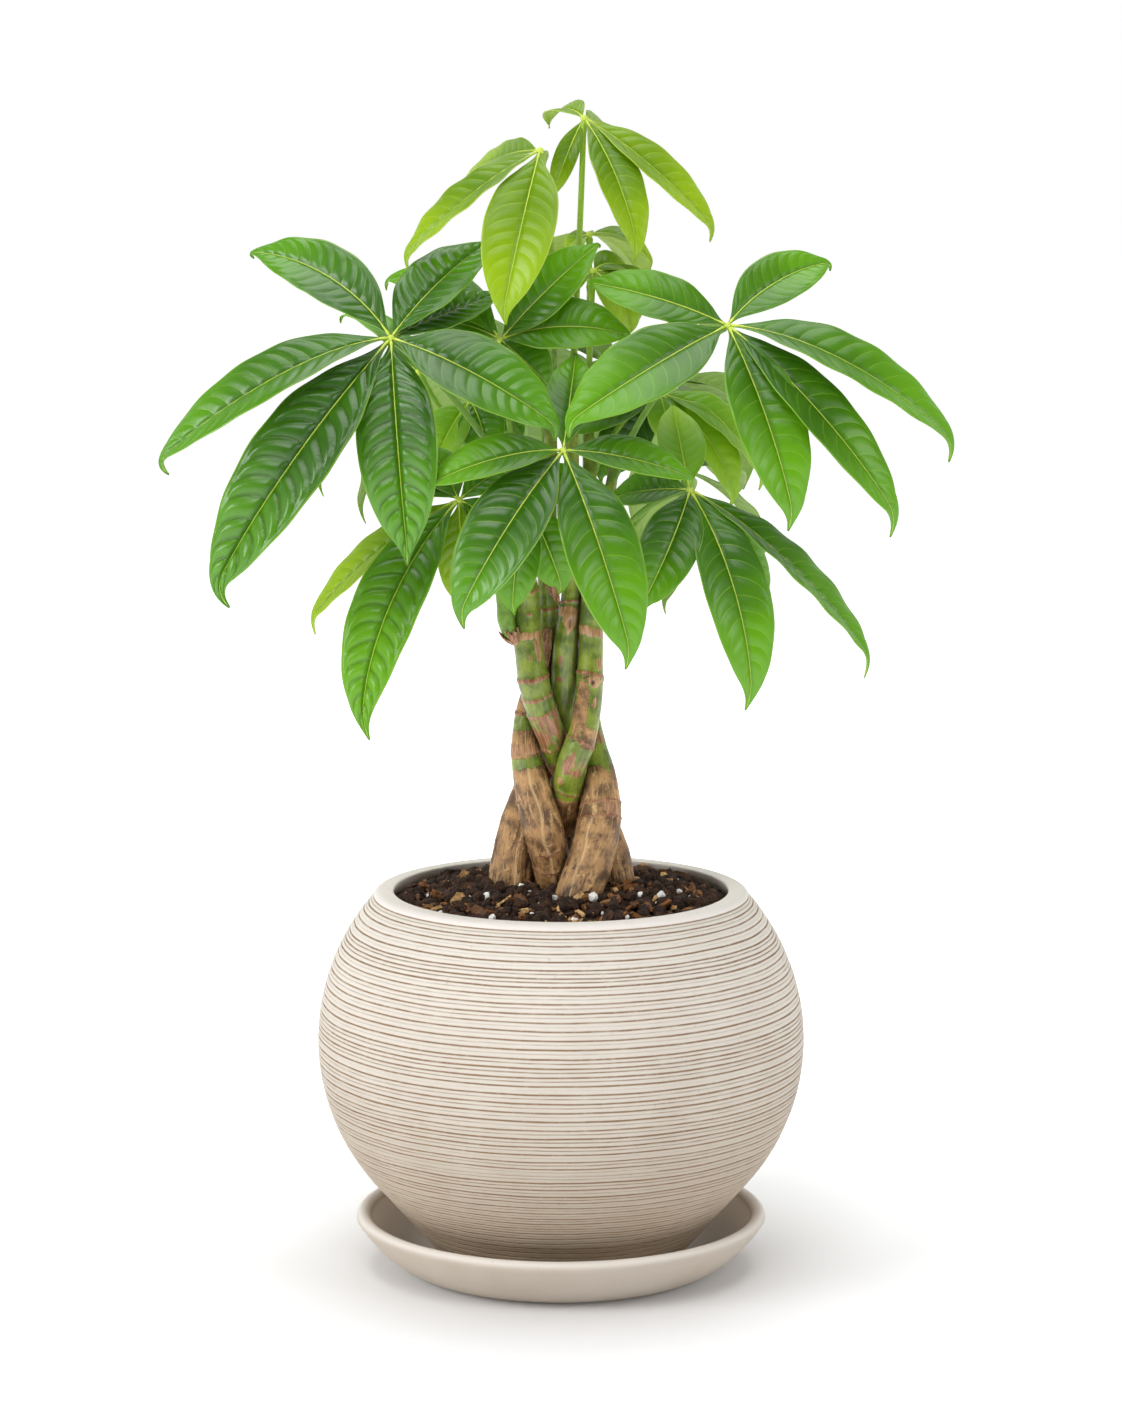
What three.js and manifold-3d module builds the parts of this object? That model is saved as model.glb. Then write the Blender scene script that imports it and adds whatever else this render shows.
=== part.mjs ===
// Potted money tree: five young trunks plaited together, each with long-stalked leaves of five to
// seven leaflets, standing in potting soil in a ribbed globe pot on a saucer.
// Millimetres, +Z up, +Y away from the viewer. The origin is the centre of the saucer's underside.
import * as THREE from "three";
import { mergeVertices } from "three/addons/utils/BufferGeometryUtils.js";
import Module from "manifold-3d";

const wasm = await Module();
wasm.setup();

// ---------------------------------------------------------------- driving dimensions
const GAP = 0.3; // between pieces that rest on each other

const SAUCER = {
  foot: 68, // radius of the flat underside, and of the basin's flat floor
  rim: 101.5, // outer radius
  height: 28,
  wall: 7,
  floor: 8, // thickness of the floor
  around: 34,
};

const POT = {
  belly: 120, // largest radius
  bellyHeight: 114, // height of the belly above the ground
  upperRise: 113, // vertical half axis of the upper half
  lowerDrop: 110, // vertical half axis of the lower half
  coneTop: 45, // below this height the wall runs straight
  lipTop: 189.2,
  lipHeight: 3.7,
  lipOuter: 92.5,
  lipInner: 82.2,
  lipRound: 4.5, // how far the lip's top rounds over to the outside
  lipEdge: 0.8, // bevel along its inner edge
  wall: 9.9,
  floor: 9,
  ribs: 12,
  ribDepth: 0.55,
  around: 32,
  corner: 6, // how far the inside's corner at the floor is filled
  drain: 7, // radius of the drain hole
};

const POT_FOOT = SAUCER.floor + GAP;
const POT_FLOOR = POT_FOOT + POT.floor;
const INNER_HEIGHTS = [POT_FLOOR, 22, 45, 75, 114, 145, 170]; // where the inside wall's profile has its points

const SOIL = {
  edge: 184, // height at the wall
  crown: 190, // height round the trunks
  flat: 0.4, // share of the radius that lies level round the trunks
  rings: 4,
  lump: 1.3, // height of the lumps
  pitch: 0.3, // radians of a lump's wave in each millimetre
};

const STEM = { sides: 9, steps: 22 };
const BLADE = { thickness: 0.8, fold: 14, stalk: 1.3, tip: 0.5, long: 100 };
const STALK = { foot: 2.2, middle: 1.1, hub: 1.7, swollen: 0.3, sides: 6, steps: 4 };
const HUB_RADIUS = 3.4;

const TURN = 2 * Math.PI;

// ---------------------------------------------------------------- solids
const vec = (p) => new THREE.Vector3(...p);

/** A closed three.js geometry as a solid that can be joined and cut. */
function solidOf(geometry) {
  const bare = geometry.clone();
  bare.deleteAttribute("normal");
  bare.deleteAttribute("uv");
  const merged = mergeVertices(bare, 1e-4);
  return new wasm.Manifold(
    new wasm.Mesh({
      numProp: 3,
      vertProperties: merged.attributes.position.array,
      triVerts: new Uint32Array(merged.index.array),
    }),
  );
}

/** A solid as a three.js geometry with flat faces. */
function geometryOf(solid) {
  const mesh = solid.getMesh();
  const indexed = new THREE.BufferGeometry();
  indexed.setAttribute("position", new THREE.BufferAttribute(mesh.vertProperties, mesh.numProp));
  indexed.setIndex(new THREE.BufferAttribute(mesh.triVerts, 1));
  const flat = indexed.toNonIndexed();
  flat.computeVertexNormals();
  return flat;
}

/** A closed skin over rings of equally many points, with a fan over each end ring, from its point `hinge`.
 *  `mirrored` says which strips split their quads the other way, so that a blade's two faces match. */
function skin(rings, hinge = 0, mirrored = () => false) {
  const count = rings[0].length;
  const index = [];
  for (let k = 0; k + 1 < rings.length; k++) {
    for (let i = 0; i < count; i++) {
      const [a, b] = [k * count + i, k * count + ((i + 1) % count)];
      const [c, d] = [b + count, a + count];
      index.push(...(mirrored(i) ? [a, b, d, b, c, d] : [a, b, c, a, c, d]));
    }
  }
  const last = (rings.length - 1) * count;
  for (let i = 1; i + 1 < count; i++) {
    const [b, c] = [(hinge + i) % count, (hinge + i + 1) % count];
    index.push(hinge, c, b, last + hinge, last + b, last + c);
  }
  const geometry = new THREE.BufferGeometry();
  const points = rings.flat().flatMap((p) => p.toArray());
  geometry.setAttribute("position", new THREE.Float32BufferAttribute(points, 3));
  geometry.setIndex(index);
  return geometry;
}

/** A round bar along a curve, whose radius is a function of the share of the way along it. */
function bar(curve, radiusAt, sides, steps) {
  const frames = curve.computeFrenetFrames(steps, false);
  const rings = [];
  for (let k = 0; k <= steps; k++) {
    const [centre, radius] = [curve.getPointAt(k / steps), radiusAt(k / steps)];
    const ring = [];
    for (let i = 0; i < sides; i++) {
      const angle = (i / sides) * TURN;
      ring.push(
        centre
          .clone()
          .addScaledVector(frames.normals[k], radius * Math.cos(angle))
          .addScaledVector(frames.binormals[k], radius * Math.sin(angle)),
      );
    }
    rings.push(ring);
  }
  return skin(rings);
}

/** A turned piece: [radius, height] points, closed on themselves, spun round +Z. */
function turned(profile, around) {
  const points = profile.map(([radius, height]) => new THREE.Vector2(radius, height));
  if (!points[0].equals(points.at(-1)) && points[0].x + points.at(-1).x > 0) points.push(points[0].clone());
  return new THREE.LatheGeometry(points, around).rotateX(Math.PI / 2);
}

/** Points on a quarter or other stretch of an ellipse, between two angles. */
function arc([x, y], [rx, ry], from, to, steps) {
  return Array.from({ length: steps + 1 }, (_, k) => {
    const angle = from + ((to - from) * k) / steps;
    return [x + rx * Math.cos(angle), y + ry * Math.sin(angle)];
  });
}

/** Points on a parabola that leaves `from` level and steepens up to `to`. */
function flare([x0, y0], [x1, y1], steps) {
  return Array.from({ length: steps + 1 }, (_, k) => {
    const share = k / steps;
    return [x0 + (x1 - x0) * share, y0 + (y1 - y0) * share ** 2];
  });
}

// ---------------------------------------------------------------- saucer and pot
function saucer() {
  const { foot, rim, height, wall, floor } = SAUCER;
  const lip = wall / 2;
  const bend = height - lip; // the height at which the wall turns into the rounded rim
  const outside = flare([foot, 0], [rim, bend], 4);
  const rounded = arc([rim - lip, bend], [lip, lip], 0, Math.PI, 4);
  const inside = flare([foot, floor], [rim - wall, bend], 4).reverse();
  return turned([[0, 0], ...outside, ...rounded.slice(1), ...inside.slice(1), [0, floor]], SAUCER.around);
}

/** The pot's outer radius at a height: two half ellipses, then a straight cone down to the foot. */
function potRadius(z) {
  const { belly, bellyHeight, upperRise, lowerDrop, coneTop } = POT;
  const half = z > bellyHeight ? upperRise : lowerDrop;
  const share = (Math.max(z, coneTop) - bellyHeight) / half;
  const radius = belly * Math.sqrt(1 - share * share);
  const slope = (-share * belly) / (half * Math.sqrt(1 - share * share));
  return z < coneTop ? radius - slope * (coneTop - z) : radius;
}

/** The radius of the pot's inside at a height, rounded off where the wall meets the floor. */
function innerRadius(z) {
  const corner = Math.max(0, 1 - (z - POT_FLOOR) / POT.corner);
  return potRadius(z) - POT.wall - POT.corner * corner * corner;
}

function pot() {
  const { lipTop, lipHeight, lipOuter, lipInner, lipRound, lipEdge, ribs, ribDepth, drain, around } = POT;
  const shoulder = lipTop - lipHeight;
  const even = 1 / Math.sqrt(Math.cos(Math.PI / around)); // puts half of each flat side outside the true round
  const outside = [];
  for (let k = 0; k <= 2 * ribs; k++) {
    const z = POT_FOOT + ((shoulder - POT_FOOT) * k) / (2 * ribs);
    outside.push([potRadius(z) * even - (k % 2 ? ribDepth : 0), z]);
  }
  const lip = [
    ...arc([lipOuter - lipRound, shoulder], [lipRound, lipHeight], 0.35, Math.PI / 2, 3),
    [lipInner + lipEdge, lipTop],
    [lipInner, lipTop - lipEdge],
  ];
  const inside = INNER_HEIGHTS.map((z) => [innerRadius(z), z]).reverse();
  return turned([[drain, POT_FOOT], ...outside, ...lip, ...inside, [drain, POT_FLOOR]], around);
}

// ---------------------------------------------------------------- stems
// Each row is x, y, z and radius: the plait from the soil up, then the green shoot above it.
const STEMS = [
  // upper left in front, passing behind to the lower right
  [
    [28, 7, 160, 9.6], [27.5, 7, 188, 9.4], [24.5, 8, 206, 8.8], [16, 10, 225, 7.9], [7.5, 9.5, 239, 7.2],
    [0.5, 3.5, 251, 6.7], [-5, -6, 267, 6.5], [-11, -9, 284, 6.6], [-15.5, -8, 308, 6.8], [-17, -6, 335, 6.6],
    [-21, -6, 365, 4.4], [-24, -4, 400, 2.6],
  ],
  // upper middle, passing behind to the lower left
  [
    [-26, 3, 160, 11.8], [-25, 3, 188, 11.4], [-22.5, 6, 209, 10.3], [-17, 12, 229, 8.8], [-10.5, 15, 246, 7.6],
    [-4.5, 12.5, 260, 6.8], [0.5, 7, 274, 6.5], [2, 2, 290, 6.6], [3, -1, 310, 6.4], [6, 0, 335, 5.8],
    [6, 0, 365, 4.2], [5, 0, 430, 2.4],
  ],
  // upper right in front, passing behind to the middle of the back
  [
    [-5, 24, 160, 9.4], [-4, 22, 188, 9.2], [-1.5, 15, 209, 8], [1.5, 5, 226, 7.2], [3, -5, 240, 6.9],
    [5.5, -11.5, 253, 6.7], [10, -12, 266, 6.4], [13, -9.5, 282, 6], [14.5, -7, 305, 5.6], [15, -6, 330, 5.6],
    [20, -5, 365, 4], [26, -2, 398, 2.4],
  ],
  // back left, coming round the left side to the middle of the front
  [
    [-3, -2, 160, 9.2], [-3, -2, 188, 9.1], [-4.5, -6.5, 203, 9.1], [-9, -10, 222, 9], [-14, -8, 241, 8],
    [-17.5, -2.5, 260, 6], [-16.5, 3.5, 277, 5.3], [-11.5, 7.5, 295, 5.2], [-8, 9, 315, 5.2], [-6.5, 9.5, 340, 5],
    [-6, 13, 375, 4], [-4, 13, 442, 2.4],
  ],
  // back right, coming round the right side to the front
  [
    [5, -23, 160, 11.2], [8, -21.5, 188, 11.2], [14.5, -16, 207, 10.9], [19, -9, 226, 9.8], [18.5, -2, 244, 8],
    [15.5, 4, 258, 6.5], [12.5, 10, 274, 5.6], [10.5, 13, 295, 5.4], [10.5, 14, 318, 5.2], [12, 16, 345, 4.8],
    [14, 20, 380, 3.8], [13, 23, 425, 2.4],
  ],
];

function stemCurve(rows) {
  return new THREE.CatmullRomCurve3(rows.map((row) => vec(row.slice(0, 3))), false, "centripetal");
}

/** The radius that the rows give at a height. */
function radiusAtHeight(rows, z) {
  const k = Math.max(1, rows.findIndex((row) => row[2] >= z));
  const [low, high] = [rows[k - 1], rows[k]];
  return THREE.MathUtils.mapLinear(THREE.MathUtils.clamp(z, low[2], high[2]), low[2], high[2], low[3], high[3]);
}

/** A stem, or with `clearance` the room that its neighbours leave it, past its ends too. */
function stem(rows, clearance = 0) {
  const [first, last] = [rows[0], rows.at(-1)];
  const longer = [
    [first[0], first[1], first[2] - clearance, first[3]],
    ...rows.slice(1, -1),
    [last[0], last[1], last[2] + clearance, last[3]],
  ];
  const curve = stemCurve(longer);
  const radius = (share) => radiusAtHeight(rows, curve.getPointAt(share).z) + clearance;
  return bar(curve, radius, STEM.sides, STEM.steps);
}

// ---------------------------------------------------------------- soil
/** The height of the soil at a place: a low mound round the trunks with lumps that die out at the wall. */
function soilTop(x, y) {
  const share = Math.hypot(x, y) / POT.lipInner;
  const mound = THREE.MathUtils.lerp(SOIL.crown, SOIL.edge, THREE.MathUtils.smoothstep(share, SOIL.flat, 1));
  const [u, v] = [SOIL.pitch * x, SOIL.pitch * y];
  const lumps = Math.sin(u + 1) * Math.cos(0.9 * v) + 0.6 * Math.sin(1.7 * (u - v));
  return mound + SOIL.lump * lumps * (1 - share ** 4);
}

/** The potting soil: the pot's filling, with a plain hole for each stem. */
function soil(stemRooms) {
  const bottom = POT_FLOOR + GAP;
  const wall = INNER_HEIGHTS.map((z) => [innerRadius(z) - GAP, Math.max(z, bottom)]);
  const top = [];
  for (let k = 0; k <= SOIL.rings; k++) top.push([(POT.lipInner - GAP) * (1 - k / SOIL.rings), SOIL.edge]);
  const body = turned([[0, bottom], ...wall, ...top], POT.around);
  const place = body.attributes.position;
  for (let i = 0; i < place.count; i++) {
    if (place.getZ(i) === SOIL.edge) place.setZ(i, soilTop(place.getX(i), place.getY(i)));
  }
  return stemRooms.reduce((left, room) => left.subtract(room), solidOf(body));
}

// ---------------------------------------------------------------- leaves
// A leaflet's half width as a share of its largest, at shares of its length: a narrow foot and a long drip tip.
const OUTLINE = [
  [0, 0.03], [0.05, 0.09], [0.15, 0.42], [0.22, 0.66], [0.3, 0.86], [0.38, 0.96], [0.47, 1], [0.56, 0.975],
  [0.64, 0.9], [0.72, 0.775], [0.8, 0.6], [0.88, 0.38], [0.94, 0.19], [1, 0.02],
];

function outline(t) {
  const k = Math.max(1, OUTLINE.findIndex(([share]) => share >= t));
  const [[low, start], [high, end]] = [OUTLINE[k - 1], OUTLINE[k]];
  return THREE.MathUtils.mapLinear(t, low, high, start, end);
}

/** A leaflet from the hub: `tip` is where it ends and `bow` how far its rib bends off the straight line there. */
function leaflet(hub, face, [tip, bow, width, roll]) {
  const [end, bend] = [vec(tip), vec(bow)];
  const along = end.clone().normalize();
  const out = face.clone().addScaledVector(along, -face.dot(along)).normalize();
  const at = (share, pull) => hub.clone().addScaledVector(end, share).addScaledVector(bend, pull);
  const rib = new THREE.CubicBezierCurve3(at(0, 0), at(0.3, 1.2), at(0.78, 1.1), at(1, 0));
  const stations = end.length() > BLADE.long ? [0, 0.1, 0.28, 0.5, 0.72, 0.91, 1] : [0, 0.13, 0.38, 0.67, 0.9, 1];
  const fold = THREE.MathUtils.degToRad(BLADE.fold);
  const rings = stations.map((t) => {
    const [centre, tangent] = [rib.getPointAt(t), rib.getTangentAt(t)];
    const up = out.clone().addScaledVector(tangent, -out.dot(tangent)).normalize();
    up.applyAxisAngle(tangent, THREE.MathUtils.degToRad(roll));
    const side = tangent.clone().cross(up);
    const half = Math.max((width / 2) * outline(t), t < 0.5 ? BLADE.stalk : BLADE.tip);
    const [across, raised] = [half * Math.cos(fold), half * Math.sin(fold)];
    const point = (s, level) =>
      centre
        .clone()
        .addScaledVector(side, s * across)
        .addScaledVector(up, Math.abs(s) * raised + (level * BLADE.thickness) / 2);
    return [point(-1, 1), point(0, 1), point(1, 1), point(1, -1), point(0, -1), point(-1, -1)];
  });
  return skin(rings, 1, (i) => i > 2);
}

/** A leaf: its stalk from the stem, the hub, and the leaflets round it. */
function leaf({ stem: number, height, thick = STALK.foot, via, hub, face, leaflets }) {
  const curve = stemCurve(STEMS[number - 1]);
  const steps = 200;
  let step = 0;
  while (curve.getPointAt(step / steps).z < height) step++;
  const way = new THREE.QuadraticBezierCurve3(curve.getPointAt(step / steps), vec(via), vec(hub));
  const middle = (thick + STALK.middle) / 2;
  const radius = (t) =>
    t < STALK.swollen
      ? THREE.MathUtils.mapLinear(t, 0, STALK.swollen, thick, middle)
      : THREE.MathUtils.mapLinear(t, STALK.swollen, 1, middle, STALK.hub);
  const stalk = bar(way, radius, STALK.sides, STALK.steps);
  const knot = new THREE.OctahedronGeometry(HUB_RADIUS).translate(...hub);
  const looks = vec(face).normalize();
  const blades = leaflets.map((row) => leaflet(vec(hub), looks, row));
  return wasm.Manifold.union([stalk, knot, ...blades].map(solidOf));
}

// Where each leaf grows: its stem and the height on it, a point that its stalk bends towards, its hub and the way
// that its upper side looks. `thick` is the foot of a stalk that is a side shoot. Each leaflet: its tip and its
// rib's bow, seen from the hub, its width, and its roll in degrees.
const LEAVES = {
  leaf_left: {
    stem: 1, height: 386, via: [-40, -16, 425], hub: [-80, -48, 462], face: [-0.15, -0.75, 0.65],
    leaflets: [
      [[-67, 40, 36], [2, -6, 12], 31, 0],
      [[-105, -4, -64], [0, -14, 17], 36, 15],
      [[-75, -30, -124], [-12, -22, 4], 45, 0],
      [[8, -26, -105], [0, -20, 2], 39, -5],
      [[77, -20, -47], [2, -12, 8], 39, -8],
      [[45, 45, 40], [-2, -4, 5], 34, -5],
      [[50, 48, 15], [0, 0, 3], 26, 0],
    ],
  },
  leaf_right: {
    stem: 3, height: 388, via: [42, -8, 440], hub: [79, -32, 467], face: [0.15, -0.75, 0.65],
    leaflets: [
      [[51, 40, 24], [-2, -4, 9], 28, 0],
      [[106, 0, -65], [4, -10, 17], 37, -20],
      [[77, -18, -99], [6, -16, 8], 32, -10],
      [[28, -28, -95], [4, -16, 4], 38, 0],
      [[-75, -42, -50], [0, -8, 6], 39, 5],
      [[-66, 10, 16], [1, -6, 5], 26, -10],
    ],
  },
  leaf_front: {
    stem: 2, height: 372, via: [4, -36, 405], hub: [1, -70, 411], face: [0, -0.75, 0.65],
    leaflets: [
      [[-62, -10, -20], [0, -8, 8], 26, 10],
      [[-46, -24, -81], [-4, -14, 5], 38, 5],
      [[29, -24, -100], [3, -14, 5], 37, -5],
      [[60, 6, -18], [1, -6, 6], 26, -15],
      [[6, 45, 41], [0, -4, 0], 24, 0],
    ],
  },
  leaf_low_right: {
    stem: 3, height: 350, via: [38, -26, 385], hub: [61, -45, 390], face: [0.15, -0.75, 0.65],
    leaflets: [
      [[-22, -22, -57], [2, -10, 4], 29, 0],
      [[26, -24, -102], [10, -14, 6], 35, 0],
      [[84, 0, -90], [6, -8, 11], 30, -30],
      [[-7, 40, 36], [0, -4, 0], 30, 0],
      [[38, 24, -53], [3, -6, 4], 22, -10],
      [[-37, 16, -8], [0, -4, 4], 26, 10],
    ],
  },
  leaf_low_left: {
    stem: 1, height: 311, thick: 4, via: [-31, -14, 336], hub: [-49, -22, 383], face: [-0.15, -0.75, 0.65],
    leaflets: [
      [[-70, 6, -66], [-4, -6, 9], 26, 25],
      [[-42, -36, -111], [-14, -14, 6], 37, 5],
      [[2, 2, -57], [0, -6, 1], 24, 0],
      [[19, 12, -30], [3, -4, 6], 22, 0],
      [[-32, 24, -2], [0, -4, 8], 20, 10],
    ],
  },
  leaf_high_middle: {
    stem: 1, height: 396, via: [-25, -6, 430], hub: [-29, -12, 459], face: [0.05, -0.7, 0.7],
    leaflets: [
      [[61, -6, -2], [0, -8, 9], 30, 10],
      [[47, 2, 44], [-1, -6, 3], 28, 5],
      [[-41, 16, 5], [0, -4, 6], 22, 0],
      [[23, 0, -25], [0, -6, 3], 26, 0],
      [[-56, 36, 22], [0, -2, 15], 24, 0],
    ],
  },
  leaf_top_left: {
    stem: 4, height: 438, via: [-2, 4, 500], hub: [-10, -15, 549], face: [-0.1, -0.72, 0.68],
    leaflets: [
      [[-63, -2, -57], [-4, -8, 8], 27, 25],
      [[-16, -30, -81], [-1, -12, 3], 36, 0],
      [[-36, 60, -18], [-1, 0, 10], 26, 0],
      [[-10, 68, -40], [2, 0, 6], 24, 0],
    ],
  },
  leaf_top: {
    stem: 2, height: 428, via: [9, 4, 500], hub: [11, 10, 564], face: [0.1, -0.6, 0.78],
    leaflets: [
      [[-17, 30, -5], [-1, 0, 8], 18, 0],
      [[-13, 2, -42], [-2, -4, 1], 15, 0],
      [[24, -26, -68], [5, -8, 4], 24, -5],
      [[61, -4, -59], [4, -4, 9], 34, -15],
      [[21, 58, -24], [2, 0, 7], 24, 0],
    ],
  },
  leaf_young_upper: {
    stem: 5, height: 415, via: [14, 28, 465], hub: [16, 32, 490], face: [0.1, -0.5, 0.85],
    leaflets: [
      [[17, 10, -3], [0, 0, 6], 18, 0],
      [[17, -4, -31], [4, -6, 4], 28, 0],
      [[37, 14, -28], [3, -4, 9], 20, 0],
      [[-15, 4, -18], [-3, -2, 2], 14, 0],
    ],
  },
  leaf_young_top: {
    stem: 5, height: 400, via: [14, 46, 445], hub: [14, 48, 507], face: [0, -0.3, 0.95],
    leaflets: [
      [[30, 0, -17], [2, 0, 8], 16, 0],
      [[-11, 0, -9], [-1, 0, 3], 14, 0],
      [[-15, 46, -24], [-2, 0, 8], 24, 0],
      [[26, 50, -29], [2, 0, 8], 26, 0],
    ],
  },
  leaf_middle_right: {
    stem: 5, height: 388, via: [30, 24, 425], hub: [48, 26, 430], face: [0.3, -0.6, 0.75],
    leaflets: [
      [[50, 10, -48], [7, -4, 11], 28, -10],
      [[35, -4, -55], [7, -6, 7], 26, 0],
      [[2, -6, -23], [2, -4, 3], 22, 0],
      [[-16, 8, -13], [-2, -2, 5], 18, 0],
    ],
  },
  leaf_middle_left: {
    stem: 4, height: 388, via: [-24, 22, 420], hub: [-44, 22, 427], face: [-0.2, -0.65, 0.75],
    leaflets: [
      [[-16, -4, -34], [-3, -4, 3], 26, 0],
      [[8, -8, -27], [1, -4, 3], 24, 0],
      [[24, 6, -19], [3, -2, 5], 22, 0],
    ],
  },
  leaf_low_front: {
    stem: 2, height: 345, via: [-8, -26, 372], hub: [-16, -36, 381], face: [0, -0.8, 0.6],
    leaflets: [
      [[-6, -8, -51], [-2, -8, 3], 24, 0],
      [[-18, 0, -44], [-3, -4, 4], 24, 0],
      [[15, 0, -42], [2, -6, 3], 26, 0],
    ],
  },
  leaf_behind_left: {
    stem: 4, height: 362, via: [-50, 48, 400], hub: [-70, 40, 440], face: [-0.4, 0.1, 0.9],
    leaflets: [
      [[-39, 20, 23], [-2, 0, 13], 24, 0],
      [[-48, 4, -62], [-8, 0, 10], 26, 0],
      [[-27, 0, -75], [-4, -4, 5], 28, 0],
      [[-22, 78, -34], [-4, 4, 16], 34, 0],
      [[22, 70, -44], [2, 4, 16], 34, 0],
    ],
  },
  leaf_behind_right: {
    stem: 3, height: 345, via: [42, 8, 378], hub: [60, 26, 393], face: [0.4, 0.1, 0.9],
    leaflets: [
      [[-8, 0, -71], [1, -6, 3], 28, 0],
      [[40, 24, -47], [6, 0, 7], 26, 0],
      [[27, 70, -26], [1, 4, 14], 34, 0],
      [[-20, 72, -46], [1, 4, 14], 34, 0],
    ],
  },
  leaf_back: {
    stem: 4, height: 378, via: [-8, 50, 415], hub: [-14, 74, 452], face: [0, 0.6, 0.8],
    leaflets: [
      [[-50, 34, -20], [-4, 6, 14], 30, 0],
      [[-38, 58, -72], [-4, 12, 10], 36, 0],
      [[-4, 68, -86], [0, 14, 10], 38, 0],
      [[28, 58, -70], [4, 12, 10], 34, 0],
      [[38, 30, -16], [4, 6, 10], 26, 0],
    ],
  },
  leaf_back_right: {
    stem: 5, height: 366, via: [36, 48, 405], hub: [54, 68, 434], face: [0.4, 0.5, 0.8],
    leaflets: [
      [[50, 18, -36], [6, 4, 12], 30, 0],
      [[40, 54, -60], [6, 10, 12], 36, 0],
      [[2, 64, -74], [0, 12, 10], 36, 0],
      [[28, 8, 26], [2, 0, 6], 24, 0],
    ],
  },
};

// ---------------------------------------------------------------- assembly
const STONEWARE = { color: 0xd8cdbd, roughness: 0.75 };
const PEAT = { color: 0x35241b, roughness: 0.95 };
const BARK = { color: 0x77603f, roughness: 0.85 };
const FOLIAGE = { color: 0x3f8f2c, roughness: 0.4 };

const part = new THREE.Group();

function place(name, geometry, look) {
  const mesh = new THREE.Mesh(geometry, new THREE.MeshStandardMaterial({ ...look, metalness: 0 }));
  mesh.name = name;
  part.add(mesh);
}

place("saucer", saucer(), STONEWARE);
place("pot", pot(), STONEWARE);

const trunks = STEMS.map((rows) => solidOf(stem(rows)));
const rooms = STEMS.map((rows) => solidOf(stem(rows, GAP)));
place("soil", geometryOf(soil(rooms)), PEAT);

// Stems press flat against each other: each gives way to the ones before it.
trunks.forEach((trunk, k) => {
  const pressed = rooms.slice(0, k).reduce((left, room) => left.subtract(room), trunk);
  place(`stem_${k + 1}`, geometryOf(pressed), BARK);
});

for (const [name, form] of Object.entries(LEAVES)) {
  const free = rooms.reduce((left, room) => left.subtract(room), leaf(form));
  place(name, geometryOf(free), FOLIAGE);
}

export default part;
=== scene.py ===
# The potted money tree, dressed: turned stoneware pot and saucer, potting soil, plaited trunks and leaves.
# Sizes are in millimetres up to the point where a mesh takes them, and +Y is away from the viewer.
import math
import random

import bpy
import numpy as np
from mathutils import Matrix, Vector, noise


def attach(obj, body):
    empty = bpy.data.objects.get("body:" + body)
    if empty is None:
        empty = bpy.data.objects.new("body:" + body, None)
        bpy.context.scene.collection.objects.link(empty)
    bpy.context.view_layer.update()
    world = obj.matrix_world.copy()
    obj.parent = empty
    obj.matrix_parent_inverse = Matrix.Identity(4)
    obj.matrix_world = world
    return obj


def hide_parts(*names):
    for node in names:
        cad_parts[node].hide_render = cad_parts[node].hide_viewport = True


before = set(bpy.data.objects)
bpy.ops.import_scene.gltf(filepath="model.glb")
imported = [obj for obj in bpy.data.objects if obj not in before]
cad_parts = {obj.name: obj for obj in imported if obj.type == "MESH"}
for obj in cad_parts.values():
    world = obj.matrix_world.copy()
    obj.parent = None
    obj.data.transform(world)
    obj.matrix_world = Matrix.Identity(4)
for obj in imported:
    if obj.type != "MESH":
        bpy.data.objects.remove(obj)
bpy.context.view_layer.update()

MM = 0.001
TURN = 2 * math.pi

# ------------------------------------------------------------ sizes shared with the solids
POT = dict(
    belly=120, belly_height=114, upper_rise=113, lower_drop=110, cone_top=45, foot=8.3, floor=17.3,
    lip_top=189.2, lip_height=3.7, lip_outer=92.5, lip_inner=82.2, lip_round=4.5, wall=9.9, corner=6, drain=7,
)
SAUCER = dict(foot=68, rim=101.5, height=28, wall=7, floor=8)
SOIL = dict(edge=184, crown=190, flat=0.4, lump=1.3, pitch=0.3)
BLADE = dict(fold=14, thickness=0.42)
STALK = dict(foot=2.1, middle=0.95, hub=1.4, swollen=0.3)
HUB_RADIUS = 1.794

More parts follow.
